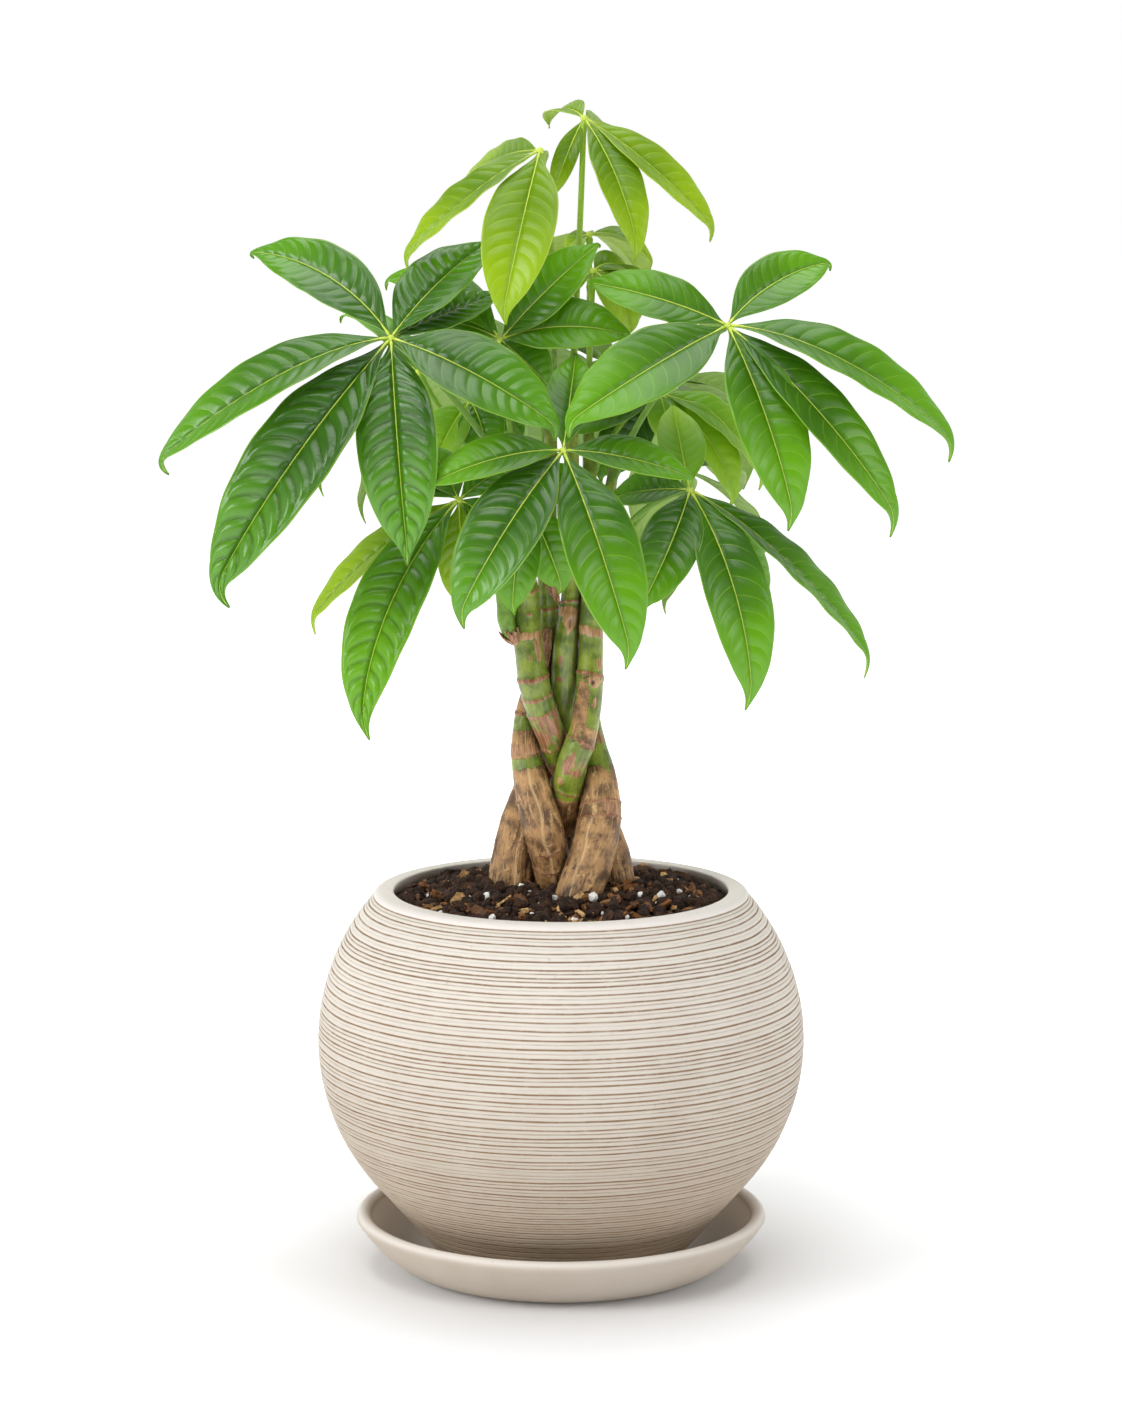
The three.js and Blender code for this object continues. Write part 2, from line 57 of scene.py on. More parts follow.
# Each row is x, y, z and radius: the plait from the soil up, then the green shoot above it.
STEMS = [
    # upper left in front, passing behind to the lower right
    [(28, 7, 160, 9.6), (27.5, 7, 188, 9.4), (24.5, 8, 206, 8.8), (16, 10, 225, 7.9), (7.5, 9.5, 239, 7.2),
     (0.5, 3.5, 251, 6.7), (-5, -6, 267, 6.5), (-11, -9, 284, 6.6), (-15.5, -8, 308, 6.8), (-17, -6, 335, 6.6),
     (-21, -6, 365, 4.4), (-24, -4, 400, 2.6)],
    # upper middle, passing behind to the lower left
    [(-26, 3, 160, 11.8), (-25, 3, 188, 11.4), (-22.5, 6, 209, 10.3), (-17, 12, 229, 8.8), (-10.5, 15, 246, 7.6),
     (-4.5, 12.5, 260, 6.8), (0.5, 7, 274, 6.5), (2, 2, 290, 6.6), (3, -1, 310, 6.4), (6, 0, 335, 5.8),
     (6, 0, 365, 4.2), (5, 0, 430, 2.4)],
    # upper right in front, passing behind to the middle of the back
    [(-5, 24, 160, 9.4), (-4, 22, 188, 9.2), (-1.5, 15, 209, 8), (1.5, 5, 226, 7.2), (3, -5, 240, 6.9),
     (5.5, -11.5, 253, 6.7), (10, -12, 266, 6.4), (13, -9.5, 282, 6), (14.5, -7, 305, 5.6), (15, -6, 330, 5.6),
     (20, -5, 365, 4), (26, -2, 398, 2.4)],
    # back left, coming round the left side to the middle of the front
    [(-3, -2, 160, 9.2), (-3, -2, 188, 9.1), (-4.5, -6.5, 203, 9.1), (-9, -10, 222, 9), (-14, -8, 241, 8),
     (-17.5, -2.5, 260, 6), (-15.5, 4.5, 277, 5.6), (-9.8, 7.5, 295, 5.8), (-6.4, 9, 315, 5.5),
     (-6.5, 9.5, 340, 5), (-6, 13, 375, 4), (-4, 13, 442, 2.4)],
    # back right, coming round the right side to the front
    [(5, -23, 160, 11.2), (8, -21.5, 188, 11.2), (14.5, -16, 207, 10.9), (19, -9, 226, 9.8), (18.5, -2, 244, 8),
     (15.5, 4, 258, 6.5), (12.5, 10, 274, 5.6), (10.5, 13, 295, 5.4), (10.5, 14, 318, 5.2), (12, 16, 345, 4.8),
     (14, 20, 380, 3.8), (13, 23, 425, 2.4)],
]

# ------------------------------------------------------------ where each leaf grows
# Its stem and the height on it, a point that its stalk bends towards, its hub, the way that its upper side
# looks, its finish and how far its blades bulge between the veins, in millimetres. A leaf on a side shoot has
# the shoot's rows, which are like a stem's, in place of the first three. Each leaflet: its tip and its rib's
# bow, seen from the hub, its width and its roll in degrees. A leaflet can have a bulge and a finish of its own,
# and a hook, which says how far its drip tip bends back.
LEAVES = {
    "left": dict(
        stem=1, height=386, via=(-40, -16, 425), hub=(-80, -48, 462), face=(-0.15, -0.75, 0.65),
        finish="glossy", quilt=1.4,
        leaflets=[
            ((-67, 40, 36), (3, -6, 14), 31, 0, dict(quilt=0.5, hook=1.6)),
            ((-105, -4, -64), (0, -14, 17), 36, 15, dict(quilt=0.6, hook=1.4)),
            ((-75, -30, -124), (-9.5, -22, 2.5), 45, 0, dict(quilt=1.8, hook=1.2)),
            ((8, -26, -105), (0, -20, 2), 39, -5, dict(quilt=1.5, hook=0.3)),
            ((77, -20, -47), (2, -12, 8), 39, -8, dict(quilt=0.6)),
            ((45, 45, 40), (-2, -4, 5), 34, -5, dict(quilt=1.0)),
            ((50, 48, 15), (0, 0, 3), 26, 0),
        ]),
    "right": dict(
        stem=3, height=388, via=(42, -8, 440), hub=(79, -32, 467), face=(0.15, -0.75, 0.65),
        finish="deep", quilt=0.32,
        leaflets=[
            ((51, 40, 24), (-2, -4, 9), 28, 0),
            ((106, 0, -65), (4, -10, 17), 37, -20),
            ((77, -18, -99), (6, -16, 8), 32, -10),
            ((28, -28, -95), (4, -16, 4), 36, 0),
            ((-75, -42, -50), (0, -8, 6), 39, 5),
            ((-66, 10, 16), (1, -6, 5), 26, -10),
        ]),
    "front": dict(
        stem=2, height=372, via=(4, -36, 405), hub=(1, -70, 411), face=(0, -0.75, 0.65),
        finish="deep", quilt=0.5,
        leaflets=[
            ((-62, -10, -20), (0, -8, 8), 26, 10),
            ((-46, -24, -81), (-4, -14, 5), 38, 5, dict(finish="glossy")),
            ((29, -24, -100), (3, -14, 5), 37, -5),
            ((60, 6, -18), (1, -6, 6), 26, -15),
            ((6, 45, 41), (0, -4, 0), 24, 0),
        ]),
    "low_right": dict(
        stem=3, height=350, via=(38, -26, 385), hub=(61, -45, 390), face=(0.15, -0.75, 0.65),
        finish="deep", quilt=0.4,
        leaflets=[
            ((-22, -22, -57), (2, -10, 4), 29, 0),
            ((26, -24, -102), (8.5, -14, 6), 33, 0),
            ((84, 0, -90), (6, -8, 11), 28, -30),
            ((-7, 40, 36), (0, -4, 0), 24, 0, dict(quilt=0.2, finish="pale")),
            ((38, 24, -53), (3, -6, 4), 22, -10),
            ((-37, 16, -8), (0, -4, 4), 26, 10),
        ]),
    "low_left": dict(
        hub=(-49, -22, 383), face=(-0.15, -0.75, 0.65),
        shoot=[(-17, -8, 313, 3), (-23.5, -10, 316.5, 3.9), (-26.6, -11, 323.5, 4.2), (-27.5, -11.5, 332, 3.8),
               (-31, -13, 344, 2.2), (-37, -16, 358, 1.5), (-49, -22, 383, 1.3)],
        finish="bright", quilt=1.5,
        leaflets=[
            ((-70, 6, -66), (-4, -6, 9), 26, 25, dict(quilt=0.9, finish="young")),
            ((-42, -36, -111), (-14, -14, 6), 37, 5),
            ((2, 2, -57), (0, -6, 1), 24, 0, dict(quilt=0.7, finish="young")),
            ((19, 12, -30), (3, -4, 6), 22, 0),
            ((-32, 24, -2), (0, -4, 8), 20, 10),
            ((32, 10, 17), (0, -3, 4), 20, 0),
            ((-14, 14, 24), (0, -2, 2), 18, 0),
        ]),
    "high_middle": dict(
        stem=1, height=396, via=(-25, -6, 430), hub=(-29, -12, 459), face=(0.05, -0.7, 0.7),
        finish="bright", quilt=0.5,
        leaflets=[
            ((61, -6, -2), (0, -8, 9), 30, 10),
            ((47, 2, 44), (-1, -6, 3), 28, 5),
            ((-41, 16, 5), (0, -4, 6), 22, 0),
            ((23, 0, -25), (0, -6, 3), 26, 0),
            ((-56, 36, 22), (0, -2, 15), 24, 0),
        ]),
    "top_left": dict(
        stem=4, height=438, via=(-2, 4, 500), hub=(-10, -15, 549), face=(-0.1, -0.72, 0.68),
        finish="young", quilt=0.45,
        leaflets=[
            ((-63, -2, -57), (-3, -8, 7), 27, 25),
            ((-16, -30, -81), (-1, -12, 3), 36, 0),
            ((-36, 60, -18), (-1, 0, 6), 20, 0),
            ((-10, 68, -40), (2, 0, 6), 24, 0),
        ]),
    "top": dict(
        stem=2, height=428, via=(9, 4, 500), hub=(11, 10, 564), face=(0.1, -0.6, 0.78),
        finish="young", quilt=0.35,
        leaflets=[
            ((-17, 30, -5), (-1, 0, 8), 18, 0),
            ((-13, 2, -39), (-2, -4, 1), 12, 0),
            ((24, -26, -68), (5, -8, 4), 24, -5),
            ((61, -4, -59), (2, -4, 7), 30, -15),
            ((21, 58, -24), (2, 0, 7), 24, 0),
        ]),
    "young_upper": dict(
        stem=5, height=415, via=(14, 28, 465), hub=(16, 32, 490), face=(0.1, -0.5, 0.85),
        finish="young", quilt=0.3,
        leaflets=[
            ((17, 10, -3), (0, 0, 6), 18, 0),
            ((17, -4, -31), (4, -6, 4), 28, 0),
            ((37, 14, -28), (3, -4, 9), 20, 0),
            ((-15, 4, -18), (-3, -2, 2), 14, 0),
        ]),
    "young_top": dict(
        stem=5, height=400, via=(14, 46, 445), hub=(14, 48, 507), face=(0, -0.3, 0.95),
        finish="young", quilt=0.3,
        leaflets=[
            ((30, 0, -17), (2, 0, 8), 16, 0),
            ((-11, 0, -9), (-1, 0, 3), 14, 0),
            ((-15, 46, -24), (-2, 0, 8), 24, 0),
            ((26, 50, -29), (2, 0, 8), 26, 0),
        ]),
    "middle_right": dict(
        stem=5, height=388, via=(30, 24, 425), hub=(48, 26, 430), face=(0.3, -0.6, 0.75),
        finish="pale", quilt=0.35,
        leaflets=[
            ((50, 10, -48), (7, -4, 11), 28, -10),
            ((35, -4, -55), (7, -6, 7), 26, 0),
            ((2, -6, -23), (2, -4, 3), 22, 0),
            ((-16, 8, -13), (-2, -2, 5), 18, 0),
            ((-47, -4, -22), (0, -4, 5), 26, 0, dict(quilt=0.7, finish="deep")),
            ((-40, -2, 8), (0, -3, 5), 24, 0, dict(quilt=0.7, finish="bright")),
            ((-28, 6, -44), (0, -4, 3), 26, 0, dict(quilt=0.7, finish="deep")),
        ]),
    "middle_left": dict(
        stem=4, height=388, via=(-24, 22, 420), hub=(-44, 22, 427), face=(-0.2, -0.65, 0.75),
        finish="bright", quilt=0.8,
        leaflets=[
            ((-16, -4, -34), (-3, -4, 3), 26, 0, dict(finish="pale")),
            ((8, -8, -27), (1, -4, 3), 24, 0),
            ((24, 6, -19), (3, -2, 5), 22, 0),
            ((40, 4, 8), (0, -3, 4), 24, 0, dict(finish="deep")),
        ]),
    "low_front": dict(
        stem=2, height=345, via=(-8, -26, 372), hub=(-16, -36, 381), face=(0, -0.8, 0.6),
        finish="bright", quilt=0.4,
        leaflets=[
            ((-6, -8, -51), (-2, -8, 3), 24, 0),
            ((-18, 0, -44), (-3, -4, 4), 24, 0),
            ((15, 0, -42), (2, -6, 3), 26, 0),
            ((27, 8, 14), (0, -2, 4), 22, 0),
        ]),
    "behind_left": dict(
        stem=4, height=362, via=(-50, 48, 400), hub=(-70, 40, 440), face=(-0.4, 0.1, 0.9),
        finish="bright", quilt=0.5,
        leaflets=[
            ((-39, 20, 23), (-2, 0, 13), 24, 0),
            ((-48, 4, -62), (-8, 0, 10), 26, 0),
            ((-27, 0, -75), (-4, -4, 5), 28, 0),
            ((-22, 78, -34), (-4, 4, 16), 34, 0),
            ((22, 70, -44), (2, 4, 16), 34, 0),
        ]),
    "behind_right": dict(
        stem=3, height=345, via=(42, 8, 378), hub=(60, 26, 393), face=(0.4, 0.1, 0.9),
        finish="bright", quilt=0.5,
        leaflets=[
            ((-8, 0, -71), (1, -6, 3), 28, 0),
            ((40, 24, -47), (6, 0, 7), 26, 0),
            ((27, 70, -26), (1, 4, 14), 34, 0),
            ((-20, 72, -46), (1, 4, 14), 34, 0),
        ]),
    "back": dict(
        stem=4, height=378, via=(-8, 50, 415), hub=(-14, 74, 452), face=(0, 0.6, 0.8),
        finish="deep", quilt=0.6,
        leaflets=[
            ((-50, 34, -20), (-4, 6, 14), 30, 0),
            ((-38, 58, -72), (-4, 12, 10), 36, 0),
            ((-4, 68, -86), (0, 14, 10), 38, 0),
            ((28, 58, -70), (4, 12, 10), 34, 0),
            ((38, 30, -16), (4, 6, 10), 26, 0),
        ]),
    "back_right": dict(
        stem=5, height=366, via=(36, 48, 405), hub=(54, 68, 434), face=(0.4, 0.5, 0.8),
        finish="bright", quilt=0.55,
        leaflets=[
            ((50, 18, -36), (6, 4, 12), 30, 0),
            ((40, 54, -60), (6, 10, 12), 36, 0),
            ((2, 64, -74), (0, 12, 10), 36, 0),
            ((28, 8, 26), (2, 0, 6), 24, 0),
        ]),
}


# ------------------------------------------------------------ small helpers
def smooth(low, high, value):
    """0 below `low`, 1 above `high` and an even ease between them."""
    share = np.clip((np.asarray(value, float) - low) / (high - low), 0, 1)
    return share * share * (3 - 2 * share)


def unit(rows):
    rows = np.asarray(rows, float)
    return rows / np.maximum(np.linalg.norm(rows, axis=-1, keepdims=True), 1e-9)


def rough(points, scale, seed, octaves=3):
    """Layered noise, about -1 to 1, at points whose lumps are `scale` long."""
    shift = Vector((seed * 7.3, seed * 3.1, seed * 5.7))
    return np.array([noise.fractal(Vector(p) / scale + shift, 1.0, 2.0, octaves) for p in points])


# ------------------------------------------------------------ mesh tools
def only(piece):
    """Selects one piece and nothing else."""
    bpy.ops.object.select_all(action="DESELECT")
    piece.select_set(True)
    bpy.context.view_layer.objects.active = piece


def edit(piece, *steps):
    """Runs mesh operators on the whole of a piece."""
    only(piece)
    bpy.ops.object.mode_set(mode="EDIT")
    bpy.ops.mesh.select_all(action="SELECT")
    for step in steps:
        step()
    bpy.ops.object.mode_set(mode="OBJECT")


def weld(distance=1e-6):
    return lambda: bpy.ops.mesh.remove_doubles(threshold=distance)


def outward():
    bpy.ops.mesh.normals_make_consistent(inside=False)


def apply(piece, kind, **values):
    """Adds a modifier and applies it."""
    only(piece)
    modifier = piece.modifiers.new(kind.title(), kind)
    for key, value in values.items():
        setattr(modifier, key, value)
    bpy.ops.object.modifier_apply(modifier=modifier.name)


def joined(name, pieces):
    """The pieces as one, under a new name."""
    bpy.ops.object.select_all(action="DESELECT")
    for piece in pieces:
        piece.select_set(True)
    bpy.context.view_layer.objects.active = pieces[0]
    if len(pieces) > 1:
        bpy.ops.object.join()
    pieces[0].name = pieces[0].data.name = name
    return pieces[0]


def sheet(name, columns, rows, place):
    """A grid whose points go where `place` puts their u and v, each 0 to 1. The UV map keeps u and v."""
    bpy.ops.object.select_all(action="DESELECT")
    bpy.ops.mesh.primitive_grid_add(x_subdivisions=columns, y_subdivisions=rows, size=2, calc_uvs=True)
    piece = bpy.context.object
    piece.name = piece.data.name = name
    flat = np.empty(len(piece.data.vertices) * 3)
    piece.data.vertices.foreach_get("co", flat)
    u, v = (flat.reshape(-1, 3)[:, :2].T + 1) / 2
    piece.data.vertices.foreach_set("co", (place(u, v) * MM).ravel())
    piece.data.shade_smooth()
    piece.data.update()
    return piece


def note(piece, name, values):
    """Writes a number, or a vector, for each point of a piece."""
    values = np.asarray(values, float)
    kind = "FLOAT" if values.ndim == 1 else "FLOAT_VECTOR"
    key = "value" if values.ndim == 1 else "vector"
    piece.data.attributes.new(name, kind, "POINT").data.foreach_set(key, values.ravel())


def spun(name, profile, around, close=True):
    """A turned piece: [radius, height] points spun round the upright axis."""
    points = [(radius * MM, 0, height * MM) for radius, height in profile]
    edges = [(k, k + 1) for k in range(len(points) - 1)]
    if close:
        edges.append((len(points) - 1, 0))
    data = bpy.data.meshes.new(name)
    data.from_pydata(points, edges, [])
    piece = bpy.data.objects.new(name, data)
    bpy.context.scene.collection.objects.link(piece)
    edit(
        piece,
        lambda: bpy.ops.mesh.spin(steps=around, angle=TURN, center=(0, 0, 0), axis=(0, 0, 1)),
        weld(2e-6),
        outward,
    )
    piece.data.shade_smooth()
    return piece


def places(piece):
    """Every point of a piece, in millimetres."""
    flat = np.empty(len(piece.data.vertices) * 3)
    piece.data.vertices.foreach_get("co", flat)
    return flat.reshape(-1, 3) / MM


def move(piece, rows):
    piece.data.vertices.foreach_set("co", (np.asarray(rows) * MM).ravel())
    piece.data.update()


def finish(piece, slot, *nodes):
    """A finished piece: it rides on the body and stands for CAD nodes. Its slot is not used."""
    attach(piece, "root")
    if nodes:
        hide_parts(*nodes)
    return piece


# ------------------------------------------------------------ curves
def catmull_rom(points, per_span=24):
    """A smooth curve through points, with each span's pace set by its length."""
    points = [np.asarray(p, float) for p in points]
    points = [2 * points[0] - points[1], *points, 2 * points[-1] - points[-2]]
    way = []
    for p0, p1, p2, p3 in zip(points, points[1:], points[2:], points[3:]):
        d0, d1, d2 = (math.sqrt(np.linalg.norm(b - a)) for a, b in ((p0, p1), (p1, p2), (p2, p3)))
        start = ((p1 - p0) / d0 - (p2 - p0) / (d0 + d1) + (p2 - p1) / d1) * d1
        end = ((p2 - p1) / d1 - (p3 - p1) / (d1 + d2) + (p3 - p2) / d2) * d1
        for k in range(per_span):
            t = k / per_span
            a, b = 2 * t**3 - 3 * t**2 + 1, t**3 - 2 * t**2 + t
            c, d = 3 * t**2 - 2 * t**3, t**3 - t**2
            way.append(a * p1 + b * start + c * p2 + d * end)
    way.append(points[-2])
    return np.array(way)


def bezier(points, steps=160):
    """A Bezier curve of any degree as a row of points."""
    t = np.linspace(0, 1, steps + 1)[:, None]
    degree = len(points) - 1
    return sum(
        math.comb(degree, k) * (1 - t) ** (degree - k) * t**k * np.asarray(p, float)
        for k, p in enumerate(points)
    )


class Way:
    """A curve that is read by the share of the way along it."""

    def __init__(self, points):
        self.points = points
        steps = np.linalg.norm(np.diff(points, axis=0), axis=1)
        self.run = np.concatenate([[0], np.cumsum(steps)])
        self.length = self.run[-1]

    def at(self, share):
        run = np.asarray(share) * self.length
        return np.stack([np.interp(run, self.run, self.points[:, k]) for k in range(3)], axis=-1)

    def heading(self, share, step=0.004):
        share = np.asarray(share)
        return unit(self.at(np.minimum(share + step, 1)) - self.at(np.maximum(share - step, 0)))

    def share_at_height(self, height):
        return self.run[np.argmax(self.points[:, 2] >= height)] / self.length


def framed(way, shares):
    """Centres, and two directions across the way that don't twist, at rising shares."""
    centres, headings = way.at(shares), way.heading(shares)
    across = [unit(np.cross(headings[0], (0.2, 1, 0.1)))]
    for heading in headings[1:]:
        last = across[-1] - heading * np.dot(across[-1], heading)
        across.append(unit(last))
    across = np.array(across)
    return centres, across, np.cross(headings, across)


def tube(name, way, radius_at, sides, rows, relief=None):
    """A round bar along a way, closed at both ends. `relief` adds to its radius by angle and share."""
    shares = np.linspace(0, 1, rows + 1)
    centres, first, second = framed(way, shares)

    def place(u, v):
        k = np.rint(v * rows).astype(int)
        angle = (u * TURN)[:, None]
        out = np.cos(angle) * first[k] + np.sin(angle) * second[k]
        radius = radius_at(v)
        if relief is not None:
            radius = radius + relief(u, v, radius, out)
        radius = np.where((k == 0) | (k == rows), 0, radius)[:, None]
        return centres[k] + radius * out

    return sheet(name, sides, rows, place)


# ------------------------------------------------------------ shader tools
def hue(code):
    """A colour such as d8cdbd, as the linear numbers that shaders take."""
    parts = [int(code[k : k + 2], 16) / 255 for k in (0, 2, 4)]
    return (*(p / 12.92 if p <= 0.04045 else ((p + 0.055) / 1.055) ** 2.4 for p in parts), 1)


def fill(tree, node, inputs):
    """Fills a node's inputs, by name or as _0, _1 and so on: a socket is linked, any other value is set."""
    for key, value in inputs.items():
        socket = node.inputs[int(key[1:])] if key[0] == "_" else node.inputs[key.replace("_", " ")]
        if isinstance(value, bpy.types.NodeSocket):
            tree.links.new(value, socket)
        else:
            socket.default_value = value


def add(tree, kind, _settings=None, **inputs):
    """A shader node with its settings and inputs."""
    node = tree.nodes.new("ShaderNode" + kind)
    for key, value in (_settings or {}).items():
        setattr(node, key, value)
    fill(tree, node, inputs)
    return node


def maths(tree, operation, a, b=0.0, c=0.0):
    return add(tree, "Math", {"operation": operation}, _0=a, _1=b, _2=c).outputs[0]


def times(tree, a, b):
    return maths(tree, "MULTIPLY", a, b)


def blend(tree, share, a, b):
    """One colour for another, by a share."""
    node = add(tree, "Mix", {"data_type": "RGBA"}, _0=share, _6=a, _7=b)
    return node.outputs[2]


def ease(tree, value, low, high, start=0.0, end=1.0):
    """`start` below `low`, `end` above `high`, and a smooth step between."""
    node = add(
        tree, "MapRange", {"interpolation_type": "SMOOTHSTEP"},
        _0=value, _1=low, _2=high, _3=start, _4=end,
    )
    return node.outputs[0]


def speckle(tree, vector, scale, detail=3.0, roughness=0.55, stretch=None):
    """Noise, 0 to 1, of `scale` lumps in a metre, or in a unit of what it reads."""
    if stretch is not None:
        vector = add(tree, "Mapping", Vector=vector, Scale=stretch).outputs[0]
    node = add(tree, "TexNoise", Vector=vector, Scale=scale, Detail=detail, Roughness=roughness)
    return node.outputs["Fac"]


def attribute(tree, name, output="Fac"):
    return add(tree, "Attribute", {"attribute_name": name}).outputs[output]


def object_place(tree):
    return add(tree, "TexCoord").outputs["Object"]


def raised(tree, height, distance):
    """A normal bumped by a height, given in metres by `distance`."""
    return add(tree, "Bump", Height=height, Distance=distance, Strength=1.0).outputs[0]


def material(name, build):
    """A material whose shader tree is drawn by `build`, which returns its surface."""
    made = bpy.data.materials.new(name)
    made.use_nodes = True
    tree = made.node_tree
    tree.nodes.clear()
    surface = build(tree)
    add(tree, "OutputMaterial", Surface=surface)
    return made


def surface(tree, **inputs):
    return add(tree, "BsdfPrincipled", **inputs).outputs[0]


def group(name, outputs, build, inputs=()):
    """A shader node group. `build` gets its tree and input sockets, and returns its outputs by name."""
    tree = bpy.data.node_groups.new(name, "ShaderNodeTree")
    for label, kind in inputs:
        tree.interface.new_socket(label, in_out="INPUT", socket_type="NodeSocket" + kind)
    for label, kind in outputs:
        tree.interface.new_socket(label, in_out="OUTPUT", socket_type="NodeSocket" + kind)
    given = tree.nodes.new("NodeGroupInput").outputs
    made = build(tree, given)
    end = tree.nodes.new("NodeGroupOutput")
    for label, _ in outputs:
        tree.links.new(made[label], end.inputs[label])
    return tree


def use(tree, shared, **inputs):
    """A shared group placed in a material."""
    node = tree.nodes.new("ShaderNodeGroup")
    node.node_tree = shared
    fill(tree, node, inputs)
    return node.outputs


# ------------------------------------------------------------ shared effects
def draw_clay(tree, given):
    """The mottle, specks and grain of unglazed clay."""
    here = given["Vector"]
    broad = speckle(tree, here, 28.0, 4.0)
    fine = speckle(tree, here, 900.0, 3.0, 0.6)
    dots = ease(tree, speckle(tree, here, 420.0, 2.0), 0.68, 0.76)
    grain = maths(tree, "ADD", times(tree, fine, 0.7), times(tree, broad, 0.3))
    return {"Mottle": broad, "Specks": dots, "Grain": grain}


CLAY = group(
    "Clay", [("Mottle", "Float"), ("Specks", "Float"), ("Grain", "Float")], draw_clay, [("Vector", "Vector")]
)


def draw_veins(tree, given):
    """A leaflet's midrib, side veins, cross veins and pale edge, from its UV map and its vein count."""
    across, along, _ = add(tree, "SeparateXYZ", Vector=add(tree, "TexCoord").outputs["UV"]).outputs
    side = maths(tree, "ABSOLUTE", maths(tree, "MULTIPLY_ADD", across, 2.0, -1.0))
    count = attribute(tree, "vein")
    share = maths(tree, "FRACT", count)
    near = maths(tree, "SUBTRACT", 0.5, maths(tree, "ABSOLUTE", maths(tree, "SUBTRACT", share, 0.5)))
    reach = ease(tree, side, 0.78, 0.9, 1.0, 0.0)
    lines = times(tree, ease(tree, near, 0.0, 0.05, 1.0, 0.0), reach)
    # the creases beside the side veins, where blade_upper paints shade
    valley = times(tree, ease(tree, near, 0.0, 0.15, 1.0, 0.0), reach)
    woven = add(tree, "CombineXYZ", X=times(tree, count, 3.2), Y=times(tree, side, 5.0))
    cross = speckle(tree, woven.outputs[0], 1.6, 3.0, 0.6)
    return {
        "Lines": lines,
        "Valley": valley,
        "Edge": ease(tree, side, 0.955, 0.985),
        "Middle": ease(tree, side, 0.02, 0.16, 1.0, 0.0),
        "Cross": cross,
        "Pillow": times(tree, maths(tree, "POWER", times(tree, near, 2.0), 0.7), reach),
        "Along": along,
    }


VEINS = group(
    "Leaf veins",
    [(label, "Float") for label in ("Lines", "Valley", "Edge", "Middle", "Cross", "Pillow", "Along")],
    draw_veins,
)


# ------------------------------------------------------------ materials
def draw_ribbed_clay(tree):
    here = object_place(tree)
    clay = use(tree, CLAY, Vector=here)
    groove = attribute(tree, "groove")
    broken = speckle(tree, here, 300.0, 3.0, 0.7, stretch=(1, 1, 0.6))
    stain = times(tree, ease(tree, groove, 0.15, 0.9), ease(tree, broken, 0.3, 0.5, 0.75, 1.0))
    body = blend(tree, ease(tree, clay["Mottle"], 0.3, 0.7), hue("c7beb2"), hue("cec6bb"))
    height = add(tree, "SeparateXYZ", Vector=here).outputs["Z"]
    low = ease(tree, height, 0.12, 0.015)
    # painted light: the upper wall made lighter, as if lit from above
    body = blend(tree, ease(tree, height, 0.1, 0.18, 0.0, 0.75), body, hue("ddd6cd"))
    # darker and browner towards the foot: partly a browner clay, partly painted shade
    body = blend(tree, times(tree, low, 0.75), body, hue("a8957c"))
    # the lip lighter: partly the smooth clay without grooves, partly painted light on its upturned top
    body = blend(tree, ease(tree, height, 0.1855, 0.188), body, hue("e6dfda"))
    tinted = blend(tree, times(tree, stain, 0.95), body, hue("86694c"))
    colour = blend(tree, times(tree, clay["Specks"], 0.35), tinted, hue("a08c72"))
    return surface(
        tree, Base_Color=colour, Roughness=0.78, Specular_IOR_Level=0.3,
        Normal=raised(tree, clay["Grain"], 0.00018),
    )


def draw_smooth_clay(tree):
    here = object_place(tree)
    clay = use(tree, CLAY, Vector=here)
    height = add(tree, "SeparateXYZ", Vector=here).outputs["Z"]
    body = blend(tree, ease(tree, clay["Mottle"], 0.3, 0.7), hue("c3b7a8"), hue("cbc0b3"))
    # painted light: the inside of the dish, which lies in shade, made lighter
    body = blend(tree, times(tree, attribute(tree, "inside"), 0.7), body, hue("f2eadf"))
    # painted light: the top of the rim made lighter, as if lit from above
    body = blend(tree, ease(tree, height, 0.0245, 0.0275), body, hue("ebe4db"))
    colour = blend(tree, times(tree, clay["Specks"], 0.18), body, hue("a8967c"))
    return surface(
        tree, Base_Color=colour, Roughness=0.62, Specular_IOR_Level=0.35,
        Normal=raised(tree, clay["Grain"], 0.00008),
    )


def draw_peat(tree):
    here = object_place(tree)
    lumps, fibres = speckle(tree, here, 260.0, 5.0, 0.7), speckle(tree, here, 900.0, 3.0, 0.7)
    colour = blend(tree, ease(tree, lumps, 0.35, 0.7), hue("1a0e08"), hue("4a2e1d"))
    colour = blend(tree, ease(tree, fibres, 0.6, 0.75), colour, hue("94602f"))
    height = maths(tree, "ADD", lumps, times(tree, fibres, 0.5))
    return surface(tree, Base_Color=colour, Roughness=0.92, Normal=raised(tree, height, 0.0012))


def draw_wood_chip(tree):
    here = object_place(tree)
    tone = attribute(tree, "tone")
    grain = speckle(tree, here, 420.0, 4.0, 0.7)
    colour = blend(tree, ease(tree, tone, 0.0, 0.6), hue("38200f"), hue("94602f"))
    colour = blend(tree, ease(tree, tone, 0.62, 0.95), colour, hue("ecc184"))
    colour = blend(tree, ease(tree, grain, 0.42, 0.7, 0.0, 0.75), colour, hue("2a140a"))
    return surface(tree, Base_Color=colour, Roughness=0.75, Normal=raised(tree, grain, 0.0008))


def draw_perlite(tree):
    grain = speckle(tree, object_place(tree), 1400.0, 4.0, 0.7)
    colour = blend(tree, ease(tree, grain, 0.3, 0.5), hue("dcd6cc"), hue("fdfcfa"))
    return surface(tree, Base_Color=colour, Roughness=0.85, Normal=raised(tree, grain, 0.0005))


